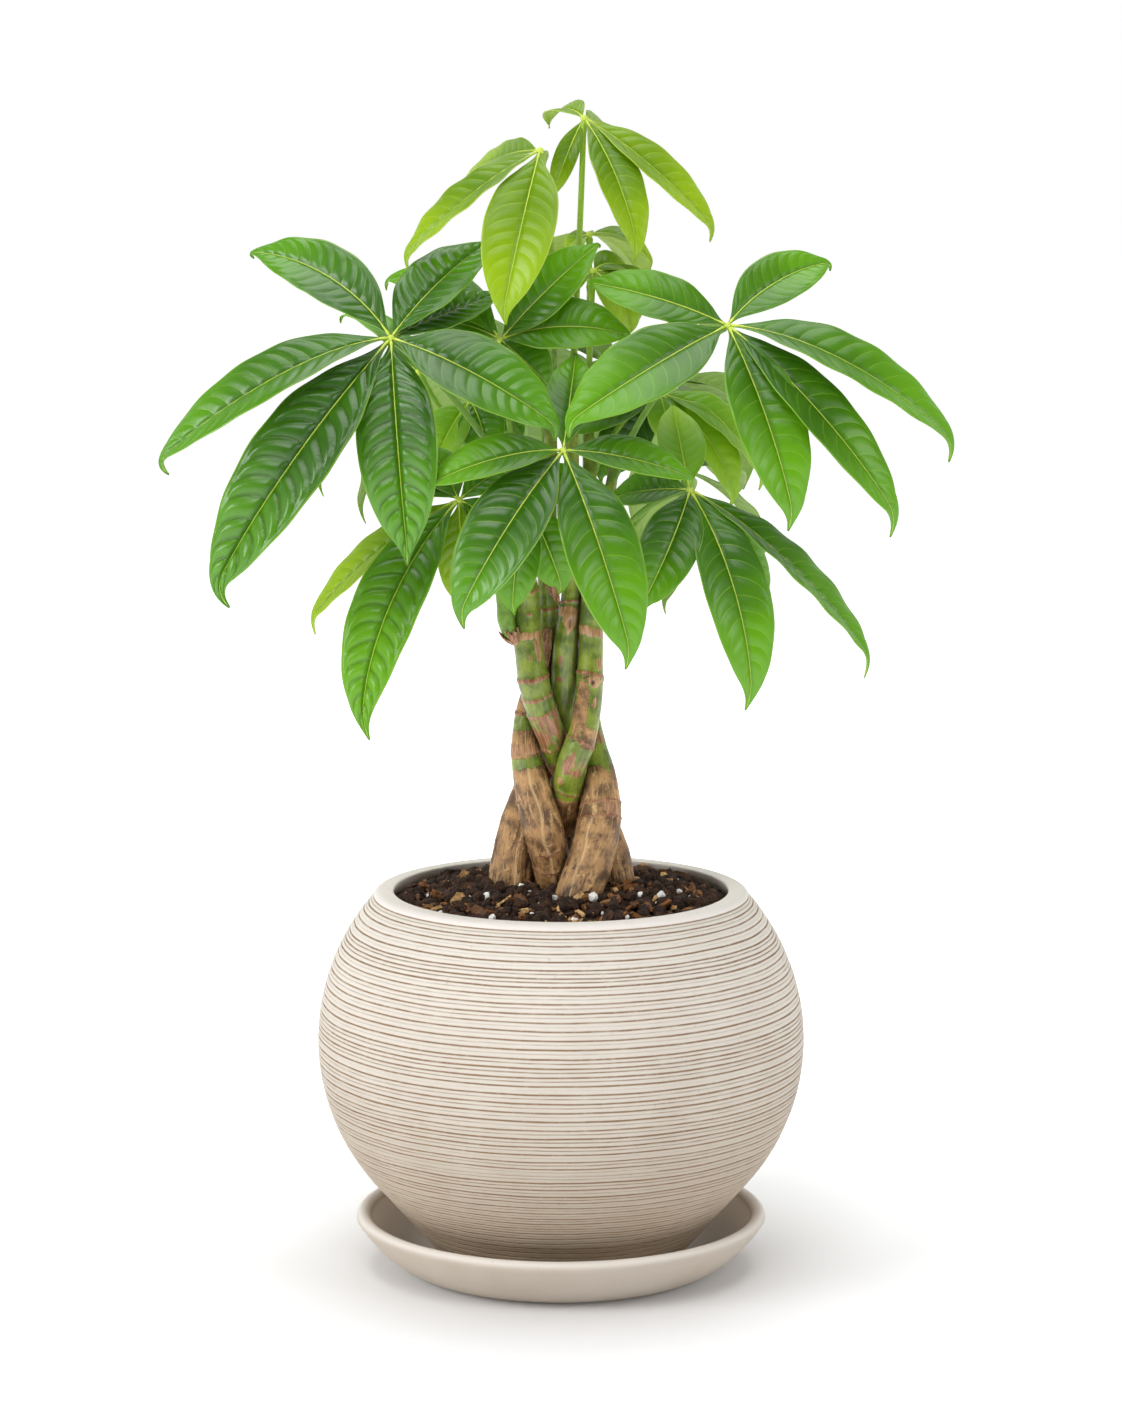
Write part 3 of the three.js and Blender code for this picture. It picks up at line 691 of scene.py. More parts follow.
def draw_trunk(tree):
    """Bark below and green skin above, with the piece's scars, rings and cracks, and painted shade beside other
    trunks.
    """
    here = attribute(tree, "straight", "Vector")
    patch = speckle(tree, here, 90.0, 4.0, 0.65)
    fibres = speckle(tree, here, 620.0, 4.0, 0.7, stretch=(1, 1, 0.14))
    rings = speckle(tree, here, 330.0, 3.0, 0.6, stretch=(0.35, 0.35, 1.6))
    flow = speckle(tree, here, 120.0, 0.5, 0.5, stretch=(1, 1, 0.22))
    blots = speckle(tree, here, 260.0, 3.0, 0.6)
    bands = maths(tree, "FRACT", times(tree, flow, 7.0))
    swirl = maths(tree, "ABSOLUTE", maths(tree, "SUBTRACT", bands, 0.5))
    threads = times(tree, ease(tree, swirl, 0.0, 0.13, 1.0, 0.0), ease(tree, rings, 0.3, 0.6))
    bark = blend(tree, ease(tree, patch, 0.38, 0.6), hue("684827"), hue("c0925e"))
    bark = blend(tree, ease(tree, fibres, 0.52, 0.75, 0.0, 0.45), bark, hue("dcae74"))
    bark = blend(tree, ease(tree, fibres, 0.25, 0.45, 0.42, 0.0), bark, hue("54381f"))
    bark = blend(tree, times(tree, threads, 0.85), bark, hue("e4b880"))
    bark = blend(tree, times(tree, attribute(tree, "line"), 0.85), bark, hue("e8c08c"))
    skin = blend(tree, ease(tree, patch, 0.3, 0.65), hue("486012"), hue("8c9c34"))
    skin = blend(tree, ease(tree, fibres, 0.45, 0.8, 0.0, 0.45), skin, hue("aeb05e"))
    skin = blend(tree, ease(tree, fibres, 0.2, 0.4, 0.5, 0.0), skin, hue("504c1c"))
    edge = maths(tree, "ADD", attribute(tree, "green"), maths(tree, "MULTIPLY_ADD", patch, 0.8, -0.4))
    green = ease(tree, edge, 0.4, 0.6)
    colour = blend(tree, green, bark, skin)
    cork = blend(tree, ease(tree, fibres, 0.35, 0.65), hue("94633f"), hue("cf9f77"))
    rust = blend(tree, ease(tree, fibres, 0.35, 0.65), hue("804a34"), hue("ba8062"))
    borders = (
        ("mottle", rust, 0.62, blots, 1.9),
        ("cork", cork, 1.0, rings, 0.6),
        ("ring", rust, 1.0, rings, 0.6),
    )
    for layer, tint, most, ragged, border in borders:
        share = maths(tree, "MULTIPLY_ADD", ragged, border, -0.5 * border)
        share = maths(tree, "MULTIPLY_ADD", attribute(tree, layer), most, share)
        colour = blend(tree, ease(tree, share, 0.45, 0.62, 0.0, 0.9), colour, tint)
    colour = blend(tree, times(tree, attribute(tree, "crack"), 0.9), colour, hue("1c120c"))
    # painted shade: the bark darkened where another trunk lies close, in the clefts of the plait
    colour = blend(tree, times(tree, attribute(tree, "close"), 0.8), colour, hue("22180d"))
    grain = maths(tree, "MULTIPLY_ADD", threads, 0.5, fibres)
    height = times(tree, grain, ease(tree, green, 0.0, 1.0, 1.0, 0.15))
    return surface(
        tree, Base_Color=colour, Roughness=ease(tree, green, 0.0, 1.0, 0.45, 0.28), Specular_IOR_Level=0.6,
        Normal=raised(tree, height, 0.0011),
    )


def draw_dry_sheath(tree):
    here = object_place(tree)
    fibres = speckle(tree, here, 700.0, 4.0, 0.7, stretch=(1, 1, 0.2))
    colour = blend(tree, ease(tree, fibres, 0.35, 0.7), hue("7d4c33"), hue("cba385"))
    return surface(tree, Base_Color=colour, Roughness=0.8, Normal=raised(tree, fibres, 0.0006))


def thin(tree, front, glow, share):
    """A leaf's surface that lets some light through."""
    through = add(tree, "BsdfTranslucent", Color=glow).outputs[0]
    return add(tree, "MixShader", _0=share, _1=front, _2=through).outputs[0]


def blade_upper(dark, light, shade, vein, glow, share, roughness, gloss, pillow):
    def draw(tree):
        veins = use(tree, VEINS)
        patch = speckle(tree, object_place(tree), 38.0, 3.0)
        tone = attribute(tree, "tone")
        lift = maths(tree, "ADD", times(tree, patch, 0.5), times(tree, tone, 0.25))
        lift = maths(tree, "MULTIPLY_ADD", ease(tree, veins["Along"], 0.3, 1.0), 0.65, lift)
        colour = blend(tree, ease(tree, lift, 0.15, 0.95), hue(dark), hue(light))
        colour = blend(tree, ease(tree, veins["Cross"], 0.5, 0.8, 0.0, 0.22), colour, hue(light))
        quilted = ease(tree, attribute(tree, "quilted"), 0.45, 1.5)
        # painted shade: the creases between the quilted cells darkened
        colour = blend(tree, times(tree, times(tree, veins["Valley"], quilted), 0.5), colour, hue(shade))
        vein_share = maths(tree, "MULTIPLY_ADD", quilted, -0.3, 0.42)
        colour = blend(tree, times(tree, veins["Lines"], vein_share), colour, hue(vein))
        colour = blend(tree, times(tree, veins["Middle"], 0.3), colour, hue(dark))
        colour = blend(tree, times(tree, veins["Edge"], 0.7), colour, hue(vein))
        puff = times(tree, veins["Pillow"], maths(tree, "MULTIPLY_ADD", quilted, 0.6 * pillow, 0.4 * pillow))
        height = maths(tree, "MULTIPLY_ADD", veins["Cross"], 0.06, puff)
        front = surface(
            tree, Base_Color=colour, Roughness=roughness, Specular_IOR_Level=gloss,
            Normal=raised(tree, height, 0.001),
        )
        return thin(tree, front, hue(glow), share)

    return draw


def blade_under(colour_code, vein, glow, share):
    def draw(tree):
        veins = use(tree, VEINS)
        patch = speckle(tree, object_place(tree), 45.0, 3.0)
        colour = blend(tree, ease(tree, patch, 0.3, 0.8, 0.0, 0.4), hue(colour_code), hue(vein))
        colour = blend(tree, times(tree, veins["Lines"], 0.6), colour, hue(vein))
        height = maths(tree, "ADD", times(tree, veins["Cross"], 0.3), veins["Lines"])
        front = surface(
            tree, Base_Color=colour, Roughness=0.55, Specular_IOR_Level=0.4,
            Normal=raised(tree, height, 0.00025),
        )
        return thin(tree, front, hue(glow), share)

    return draw


def draw_rib(light, base, tip):
    def draw(tree):
        fibres = speckle(tree, object_place(tree), 300.0, 3.0)
        along = add(tree, "SeparateXYZ", Vector=add(tree, "TexCoord").outputs["UV"]).outputs["Y"]
        colour = blend(tree, ease(tree, fibres, 0.3, 0.7), hue(base), hue(light))
        colour = blend(tree, ease(tree, along, 0.0, 0.8), colour, hue(tip))
        return surface(
            tree, Base_Color=colour, Roughness=0.45, Specular_IOR_Level=0.5,
            Normal=raised(tree, fibres, 0.0001),
        )

    return draw


def draw_floor(tree):
    here = object_place(tree)
    patch = speckle(tree, here, 3.0, 2.0)
    away = add(tree, "VectorMath", {"operation": "LENGTH"}, _0=here).outputs["Value"]
    base = blend(tree, patch, hue("eceded"), hue("f0f0f1"))
    glow = blend(tree, ease(tree, away, 0.1, 0.5), hue("404040"), hue("ffffff"))
    return surface(
        tree, Base_Color=base, Roughness=0.9, Specular_IOR_Level=0.1,
        Emission_Color=glow, Emission_Strength=0.78,
    )


LOOKS = {
    # upper dark, upper light, painted crease shade, vein, light let through, its share, roughness, gloss, pillow
    # in mm, underside, stalk
    "deep": ("285700", "62a000", "143600", "8cb838", "80c000", 0.13, 0.31, 0.5, 0.3, "83a257", "6f9a2a"),
    "glossy": ("265400", "569400", "143600", "8cb838", "80c000", 0.12, 0.29, 0.62, 0.4, "83a257", "6f9a2a"),
    "bright": ("376c00", "68a606", "215000", "a0c83c", "98cc00", 0.2, 0.31, 0.5, 0.3, "93b25c", "7aa330"),
    "young": ("507c00", "98bc00", "507c00", "c6dc50", "bcd400", 0.26, 0.34, 0.5, 0.2, "a4c24c", "8db02f"),
    "pale": ("649810", "a0c828", "649810", "c4dc68", "b8e014", 0.36, 0.38, 0.5, 0.2, "acc65e", "8fb13a"),
}
RIBBED_CLAY = material("Ribbed stoneware", draw_ribbed_clay)
SMOOTH_CLAY = material("Smooth stoneware", draw_smooth_clay)
PEAT = material("Peat", draw_peat)
WOOD_CHIP = material("Bark chip", draw_wood_chip)
PERLITE = material("Perlite", draw_perlite)
TRUNK = material("Trunk bark", draw_trunk)
DRY_SHEATH = material("Dry sheath", draw_dry_sheath)
BLADES = {}
for finish_name, row in LOOKS.items():
    *upper, under, stalk = row
    vein, glow, share = upper[3:6]
    BLADES[finish_name] = (
        material(f"Leaf {finish_name}", blade_upper(*upper)),
        material(f"Leaf underside {finish_name}", blade_under(under, vein, glow, share)),
        material(f"Rib {finish_name}", draw_rib("cfdc58", "b4ca46", "b2cc4c")),
        material(f"Stalk {finish_name}", draw_rib(stalk, "587a20", stalk)),
    )


# ------------------------------------------------------------ pot and saucer
def pot_radius(z):
    """The pot's outer radius at a height: two half ellipses, then a straight cone down to the foot."""
    half = POT["upper_rise"] if z > POT["belly_height"] else POT["lower_drop"]
    share = (max(z, POT["cone_top"]) - POT["belly_height"]) / half
    radius = POT["belly"] * math.sqrt(1 - share * share)
    slope = -share * POT["belly"] / (half * math.sqrt(1 - share * share))
    return radius - slope * (POT["cone_top"] - z) if z < POT["cone_top"] else radius


def inner_radius(z):
    """The radius of the pot's inside, rounded off where the wall meets the floor."""
    corner = max(0, 1 - (z - POT["floor"]) / POT["corner"])
    return pot_radius(z) - POT["wall"] - POT["corner"] * corner * corner


GROOVE = dict(pitch=4.25, uneven=0.07, top_pitch=3.75, depth=0.6, highest=0.25, lowest=2.5)
# Shares of a groove's pitch at which the wall has a point, and how deep it lies there: a deep line, then a
# faint one.
GROOVE_SHAPE = [
    (0, 1), (0.09, 0.7), (0.17, 0.08), (0.3, 0), (0.42, 0.55), (0.5, 0.5), (0.6, 0.05), (0.86, 0.18),
]


def arc(centre, radii, start, end, steps):
    """Points on a stretch of an ellipse, between two angles."""
    angles = [start + (end - start) * k / steps for k in range(steps + 1)]
    return [(centre[0] + radii[0] * math.cos(a), centre[1] + radii[1] * math.sin(a)) for a in angles]


def flare(start, end, steps):
    """Points on a parabola that leaves `start` level and steepens up to `end`."""
    (x0, y0), (x1, y1) = start, end
    shares = [k / steps for k in range(steps + 1)]
    return [(x0 + (x1 - x0) * share, y0 + (y1 - y0) * share * share) for share in shares]


def grooved(wall):
    """Points down a wall with its uneven grooves, and how deep in a groove each lies."""
    chance = random.Random(7)
    points, depths, run = [], [], 0
    while run < wall.length - GROOVE["lowest"]:
        pitch = GROOVE["pitch"] * chance.uniform(1 - GROOVE["uneven"], 1 + GROOVE["uneven"])
        pitch = min(pitch, GROOVE["top_pitch"] + run / 30)
        line, second = chance.uniform(0.85, 1.1), chance.uniform(0.6, 1.3)
        for share, depth in GROOVE_SHAPE:
            place = min((run + share * pitch) / wall.length, 1)
            r, z, _ = wall.at(place)
            ahead = wall.heading(place)
            depth *= line if share < 0.2 else second
            sunk = depth * GROOVE["depth"]
            points.append((r + ahead[1] * sunk, z - ahead[0] * sunk))
            depths.append(depth)
        run += pitch
    return points, depths


def build_pot():
    shoulder = POT["lip_top"] - POT["lip_height"]
    turn = (POT["lip_outer"] - POT["lip_round"], shoulder)
    radii = (POT["lip_round"], POT["lip_height"])
    over = arc(turn, radii, GROOVE["highest"], 0.08, 4)
    heights = np.linspace(shoulder, POT["foot"], 900)
    wall = Way(np.array([(r, z, 0) for r, z in over] + [(pot_radius(z), z, 0) for z in heights]))
    outside, depths = grooved(wall)
    foot_corner = (pot_radius(POT["foot"]) - 1.2, POT["foot"])
    crown = arc(turn, radii, math.pi / 2, GROOVE["highest"] + 0.15, 9)
    inner_corner = arc((POT["lip_inner"] + 0.9, POT["lip_top"] - 0.9), (0.9, 0.9), math.pi, math.pi / 2, 5)
    inside = [(inner_radius(z), z) for z in np.linspace(POT["floor"], shoulder - 1.5, 26)]
    profile = [(POT["drain"], POT["floor"]), *inside, *inner_corner, *crown, *outside, foot_corner]
    piece = spun("pot_body", [*profile, (POT["drain"], POT["foot"])], 200)
    depth_at = {}
    for (r, z), depth in zip(outside, depths):
        depth_at[round(r, 2), round(z, 2)] = depth
    rows = places(piece)
    radii = np.hypot(rows[:, 0], rows[:, 1])
    groove = np.array([depth_at.get((round(r, 2), round(z, 2)), 0) for r, z in zip(radii, rows[:, 2])])
    angle = np.arctan2(rows[:, 1], rows[:, 0])
    ring = np.stack([np.cos(angle) * 3, np.sin(angle) * 3, rows[:, 2] / 9], axis=1)
    outer = radii > np.array([pot_radius(z) for z in rows[:, 2]]) - 1.5
    outer = outer & (rows[:, 2] < shoulder - 1)
    sway = np.where(outer, rough(ring, 1.0, 1), 0)
    uneven = np.where(outer, rough(ring * [4, 4, 9], 1.0, 2), 0)
    rows[:, 2] += 0.3 * sway
    out = np.stack([np.cos(angle), np.sin(angle), 0 * angle], axis=1)
    rows += out * (0.13 * uneven * (0.3 + groove))[:, None]
    move(piece, rows)
    note(piece, "groove", groove * (1 + 0.35 * uneven))
    piece.data.materials.append(RIBBED_CLAY)
    return finish(piece, "pot_stoneware", "pot")


def build_saucer():
    foot, rim, height, wall, floor = (SAUCER[k] for k in ("foot", "rim", "height", "wall", "floor"))
    lip = wall / 2
    bend = height - lip
    outside = flare((foot, 0), (rim, bend), 24)
    rounded = arc((rim - lip, bend), (lip, lip), 0, math.pi, 18)
    inside = flare((foot, floor), (rim - wall, bend), 20)[::-1]
    profile = [(0, 0), (foot - 2, 0), *outside, *rounded[1:], *inside[1:], (foot - 2, floor), (0, floor)]
    piece = spun("saucer_dish", profile, 180, close=False)
    rows = places(piece)
    out = np.clip((np.hypot(rows[:, 0], rows[:, 1]) - foot) / (rim - foot), 0, 1)
    # where the dish's inside lies, for the painted light that lifts its shade
    note(piece, "inside", smooth(2, 5, rows[:, 2] - bend * out**2))
    piece.data.materials.append(SMOOTH_CLAY)
    return finish(piece, "saucer_stoneware", "saucer")


# ------------------------------------------------------------ soil
def soil_height(x, y):
    """The height of the soil: a low mound with lumps that die out at the wall."""
    share = np.hypot(x, y) / POT["lip_inner"]
    mound = SOIL["crown"] + (SOIL["edge"] - SOIL["crown"]) * smooth(SOIL["flat"], 1, share)
    u, v = SOIL["pitch"] * x, SOIL["pitch"] * y
    lumps = np.sin(u + 1) * np.cos(0.9 * v) + 0.6 * np.sin(1.7 * (u - v))
    return mound + SOIL["lump"] * lumps * (1 - share**4)


def build_soil_bed():
    bottom = POT["floor"] + 0.3
    wall = [(inner_radius(z) - 0.3, max(z, bottom)) for z in np.linspace(bottom, SOIL["edge"] - 3, 16)]
    top = [((POT["lip_inner"] - 0.3) * (1 - k / 70), SOIL["edge"]) for k in range(71)]
    piece = spun("soil_bed", [(0, bottom), *wall, *top], 180, close=False)
    rows = places(piece)
    surface_rows = rows[:, 2] > SOIL["edge"] - 0.5
    flat = rows[surface_rows]
    crumbs = rough(np.stack([flat[:, 0], flat[:, 1], 0 * flat[:, 0]], axis=1), 5.0, 4, 4)
    level = soil_height(flat[:, 0], flat[:, 1]) + 1.5 * crumbs - 1.0
    rows[surface_rows, 2] = level
    move(piece, rows)
    piece.data.materials.append(PEAT)
    return finish(piece, "potting_soil", "soil")


def lump(name, stretch, jitter, seed):
    """One rough lump, about a millimetre in radius."""
    bpy.ops.object.select_all(action="DESELECT")
    bpy.ops.mesh.primitive_ico_sphere_add(subdivisions=2, radius=MM)
    piece = bpy.context.object
    piece.name = piece.data.name = name
    rows = places(piece)
    rows *= (1 + jitter * rough(rows, 1.1, seed, 2))[:, None] * np.array(stretch)
    move(piece, rows)
    return piece


def flake(name, size, seed):
    """One split flake of bark: a thin bent block with broken ends."""
    bpy.ops.object.select_all(action="DESELECT")
    bpy.ops.mesh.primitive_cube_add(size=2 * MM)
    piece = bpy.context.object
    piece.name = piece.data.name = name
    edit(piece, lambda: bpy.ops.mesh.subdivide(number_cuts=2))
    rows = places(piece)
    chance = random.Random(seed)
    bow = chance.uniform(-0.5, 0.5)
    ragged = np.array([[chance.uniform(-1, 1) for _ in range(3)] for _ in rows])
    rows = rows * np.array(size) + ragged * np.array(size) * [0.16, 0.2, 0.3]
    rows[:, 2] += bow * size[2] * (rows[:, 0] / size[0]) ** 2 * 2
    rows[:, 1] *= 1 - 0.3 * np.abs(rows[:, 0] / size[0])
    move(piece, rows)
    return piece


def scattered(name, shapes, spots, finish_material, slot):
    """Copies of the shapes, each with its own mesh, set at (place, turn, size, tone) spots and joined."""
    copies = []
    for k, (place, turn, size, tone) in enumerate(spots):
        source = shapes[k % len(shapes)]
        copy = source.copy()
        copy.data = source.data.copy()
        turned = Matrix.LocRotScale(Vector(place) * MM, turn, Vector((size, size, size)))
        copy.data.transform(turned)
        note(copy, "tone", np.full(len(copy.data.vertices), tone))
        bpy.context.scene.collection.objects.link(copy)
        copies.append(copy)
    for source in shapes:
        bpy.data.objects.remove(source)
    piece = joined(name, copies)
    piece.data.materials.append(finish_material)
    return finish(piece, slot)


TRUNK_FEET = [(stem[1][0], stem[1][1], stem[1][3]) for stem in STEMS]


def on_soil(x, y, lift):
    return x, y, float(soil_height(x, y)) + lift


def free_spot(chance, reach):
    """A place on the soil that is clear of the trunks."""
    while True:
        angle, radius = chance.uniform(0, TURN), reach * math.sqrt(chance.random())
        x, y = radius * math.cos(angle), radius * math.sin(angle)
        if all(math.hypot(x - fx, y - fy) > fr for fx, fy, fr in TRUNK_FEET):
            return x, y


def any_turn(chance, tilt=math.pi):
    """A turn about +Z with a lean of up to `tilt`."""
    spin = Matrix.Rotation(chance.uniform(0, TURN), 3, "Z")
    lean, roll = (Matrix.Rotation(chance.uniform(-tilt, tilt), 3, axis) for axis in "XY")
    return (spin @ (lean @ roll)).to_quaternion()


def build_soil_litter():
    chance = random.Random(11)
    crumb_shapes = [lump(f"crumb_{k}", (1, chance.uniform(0.7, 1), 0.75), 0.55, k) for k in range(6)]
    spots = []
    for _ in range(1500):
        size = chance.choice((0.9, 1.2, 1.6, 2.1, 2.8, 3.6)) * chance.uniform(0.8, 1.2)
        x, y = free_spot(chance, POT["lip_inner"] - 1.5 - size)
        spots.append((on_soil(x, y, 0.35 * size - 0.6), any_turn(chance), size, chance.random()))
    scattered("soil_crumbs", crumb_shapes, spots, PEAT, "potting_soil")

    chance = random.Random(23)
    chip_shapes = [
        flake(f"chip_{k}", (chance.uniform(2.2, 4.0), chance.uniform(1.3, 2.4), 0.8), k) for k in range(7)
    ]
    spots = []
    for k in range(250):
        size = chance.uniform(0.45, 1.35)
        x, y = free_spot(chance, POT["lip_inner"] - 5)
        tilt, lift = (1.1, 0.6 + 1.6 * size) if k % 6 == 0 else (0.45, 1.1)
        spots.append((on_soil(x, y, lift), any_turn(chance, tilt), size, chance.random()))
    for x, y, size in CHIPS_STANDING:
        upright = Matrix.Rotation(math.atan2(-x, y) + chance.uniform(-0.5, 0.5), 3, "Z")
        turn = (upright @ Matrix.Rotation(chance.uniform(1.0, 1.5), 3, "X")).to_quaternion()
        spots.append((on_soil(x, y, 1.3 * size), turn, size, chance.uniform(0, 0.45)))
    scattered("bark_chips", chip_shapes, spots, WOOD_CHIP, "potting_soil")

    chance = random.Random(29)
    stick_shapes = [flake(f"stick_{k}", (chance.uniform(5, 8.5), 0.55, 0.45), 20 + k) for k in range(5)]
    spots = []
    for _ in range(45):
        x, y = free_spot(chance, POT["lip_inner"] - 10)
        place = on_soil(x, y, chance.uniform(0.8, 2.2))
        spots.append((place, any_turn(chance, 0.3), chance.uniform(0.5, 1), chance.random()))
    scattered("wood_splinters", stick_shapes, spots, WOOD_CHIP, "potting_soil")

    chance = random.Random(31)
    pebble_shapes = [lump(f"pebble_{k}", (1, chance.uniform(0.8, 1), 0.85), 0.4, 40 + k) for k in range(5)]
    spots = []
    for x, y, size in PERLITE_SEEN:
        spots.append((on_soil(x, y, 0.4 * size + 0.7), any_turn(chance), size, 1.0))
    for _ in range(60):
        size = chance.choice((0.5, 0.7, 0.7, 0.9, 1.2, 1.6))
        x, y = free_spot(chance, POT["lip_inner"] - 3)
        spots.append((on_soil(x, y, 0.3 * size + 0.4), any_turn(chance), size, 1.0))
    scattered("perlite", pebble_shapes, spots, PERLITE, "potting_soil")


# x, y and size of the larger flakes that lean against the wall at the back and the sides
CHIPS_STANDING = [
    (-57, 51, 1.5), (-45, 61, 1.3), (-30, 68, 1.1), (42, 63, 1.6), (31, 68, 1.2), (60, 47, 1.5), (72, 24, 1.2),
    (-74, 18, 1.2), (-68, 33, 1.1), (52, 56, 1.1), (75, 8, 0.9), (-76, 3, 0.9), (0, 74, 1.3), (14, 73, 1.1),
]
# x, y and radius of the larger pebbles on the side towards the viewer
PERLITE_SEEN = [
    (-61.6, 0, 1.5), (-51.6, -27, 2.0), (-35.6, -29, 2.5), (-19, -21, 2.3), (-2.8, -34, 1.9), (15.8, -38, 2.6),
    (6.1, -68, 2.6), (38.6, -23, 1.6), (48.8, -20, 2.4), (58, -4, 1.8), (-55.6, 8.4, 1.5), (64, -11.5, 1.8),
    (44, -61, 1.6), (-33, -62, 2.0), (20, -56, 1.1), (-14, -57, 1.0),
]


# ------------------------------------------------------------ trunks
STEM_WAYS = [Way(catmull_rom([row[:3] for row in rows])) for rows in STEMS]

# Heights: above `green` a stem's skin is green, and below `cracks` its bark is split. Each mark is seen from the
# viewer's side: its kind, how far it lies to the right of the stem's middle, its height, and its half width and
# half height. A mark that is ROUND wide goes all the way round.
ROUND = 99
SKINS = [
    dict(green=256, cracks=236, marks=[
        ("cork", 0, 317, ROUND, 1.8), ("cork", 0.5, 305, 0.8, 2.2), ("ring", 0, 295.5, ROUND, 1),
        ("ring", 0, 286.5, ROUND, 0.7), ("ring", 0, 279, ROUND, 0.8), ("mottle", 0, 271, ROUND, 8),
        ("cork", -3.5, 263, 3, 1.1), ("cork", 1, 326, 1.5, 0.8), ("cork", 4.5, 309, 1.6, 7),
        ("ring", 0, 338, ROUND, 0.6), ("brown", 0, 246, ROUND, 3),
    ]),
    dict(green=262, cracks=242, marks=[
        ("ring", 0, 331, ROUND, 0.7), ("cork", -1.5, 326, 5, 3.2), ("shield", -0.3, 320, 5.6, 6.5),
        ("crack", 0, 321.5, 0.4, 2.4), ("mottle", -3, 304, 1.1, 3), ("mottle", -2.8, 295, 2.6, 1.6),
        ("mottle", 4.8, 294, 1, 2.4), ("mottle", 0.5, 285, 2.5, 2), ("ring", 0, 346, ROUND, 0.5),
    ]),
    dict(green=238, cracks=222, marks=[
        ("cork", 0, 317, ROUND, 2.2), ("ring", 0, 296.5, ROUND, 1), ("cork", 2.4, 293.5, 3.6, 2.6),
        ("crack", 1.5, 293, 0.8, 0.9), ("cork", 4, 302, 1.4, 3), ("brown", -2.8, 280, 3.6, 15),
        ("cork", 3, 283, 1, 3), ("brown", 3.4, 266.5, 4, 5), ("ring", 0, 264, ROUND, 0.7),
        ("mottle", 0, 254, 6, 5), ("cork", -1.5, 255.5, 1.8, 3.5), ("cork", -4.5, 247, 1.6, 1.6),
        ("ring", 1, 241, ROUND, 0.5), ("ring", 0, 334, ROUND, 0.6),
    ]),
    dict(green=285, cracks=249, marks=[
        ("ring", 0, 275, ROUND, 0.7), ("green", -1, 270.5, ROUND, 3.2), ("cork", 0, 259, ROUND, 2.4),
        ("green", 0, 252.8, ROUND, 2.4), ("brown", 0, 300, ROUND, 4), ("ring", 0, 328, ROUND, 0.7),
        ("ring", 0, 212, ROUND, 0.5), ("ring", 0, 203, ROUND, 0.4), ("ring", 0, 350, ROUND, 0.5),
    ]),
    dict(green=247, cracks=236, marks=[
        ("mottle", 2, 262, 4, 6), ("ring", 0, 232, ROUND, 0.5), ("ring", 0, 225, ROUND, 0.5),
        ("ring", 0, 290, ROUND, 0.7), ("ring", 0, 318, ROUND, 0.7), ("ring", 0, 340, ROUND, 0.5),
        ("cork", 5, 229, 3, 4),
    ]),
]
RAISED = dict(ring=0.5, cork=0.28, shield=0.35, crack=-0.7)
LONG_SCARS = {2: 0.02, 4: 0.0, 5: -0.06}  # stem: how far round from the viewer, in turns, its long scar runs


def stem_radius(rows, z):
    heights, radii = [row[2] for row in rows], [row[3] for row in rows]
    return np.interp(z, heights, radii)


def mark_share(kind, right, rise, half_width, half_height, edge):
    """How far, 0 to 1, points lie inside a mark. `edge` is noise that makes its border ragged."""
    if kind == "shield":
        half_width = half_width * np.clip(0.5 + 0.6 * rise / half_height, 0.02, 1)
    across = np.zeros_like(right) if half_width is ROUND else right / half_width
    far = np.sqrt(across**2 + (rise / half_height) ** 2)
    return smooth(1.25, 0.75, far + 0.35 * edge)


def gap_to_neighbours(number, points):
    """How far points of a trunk lie from the nearest other trunk's bark, in millimetres."""
    gaps = []
    for other, rows in enumerate(STEMS):
        if other != number:
            x, y, z = STEM_WAYS[other].points.T
            level = points[:, 2]
            apart = np.hypot(points[:, 0] - np.interp(level, z, x), points[:, 1] - np.interp(level, z, y))
            gaps.append(apart - stem_radius(rows, level))
    return np.min(gaps, axis=0)


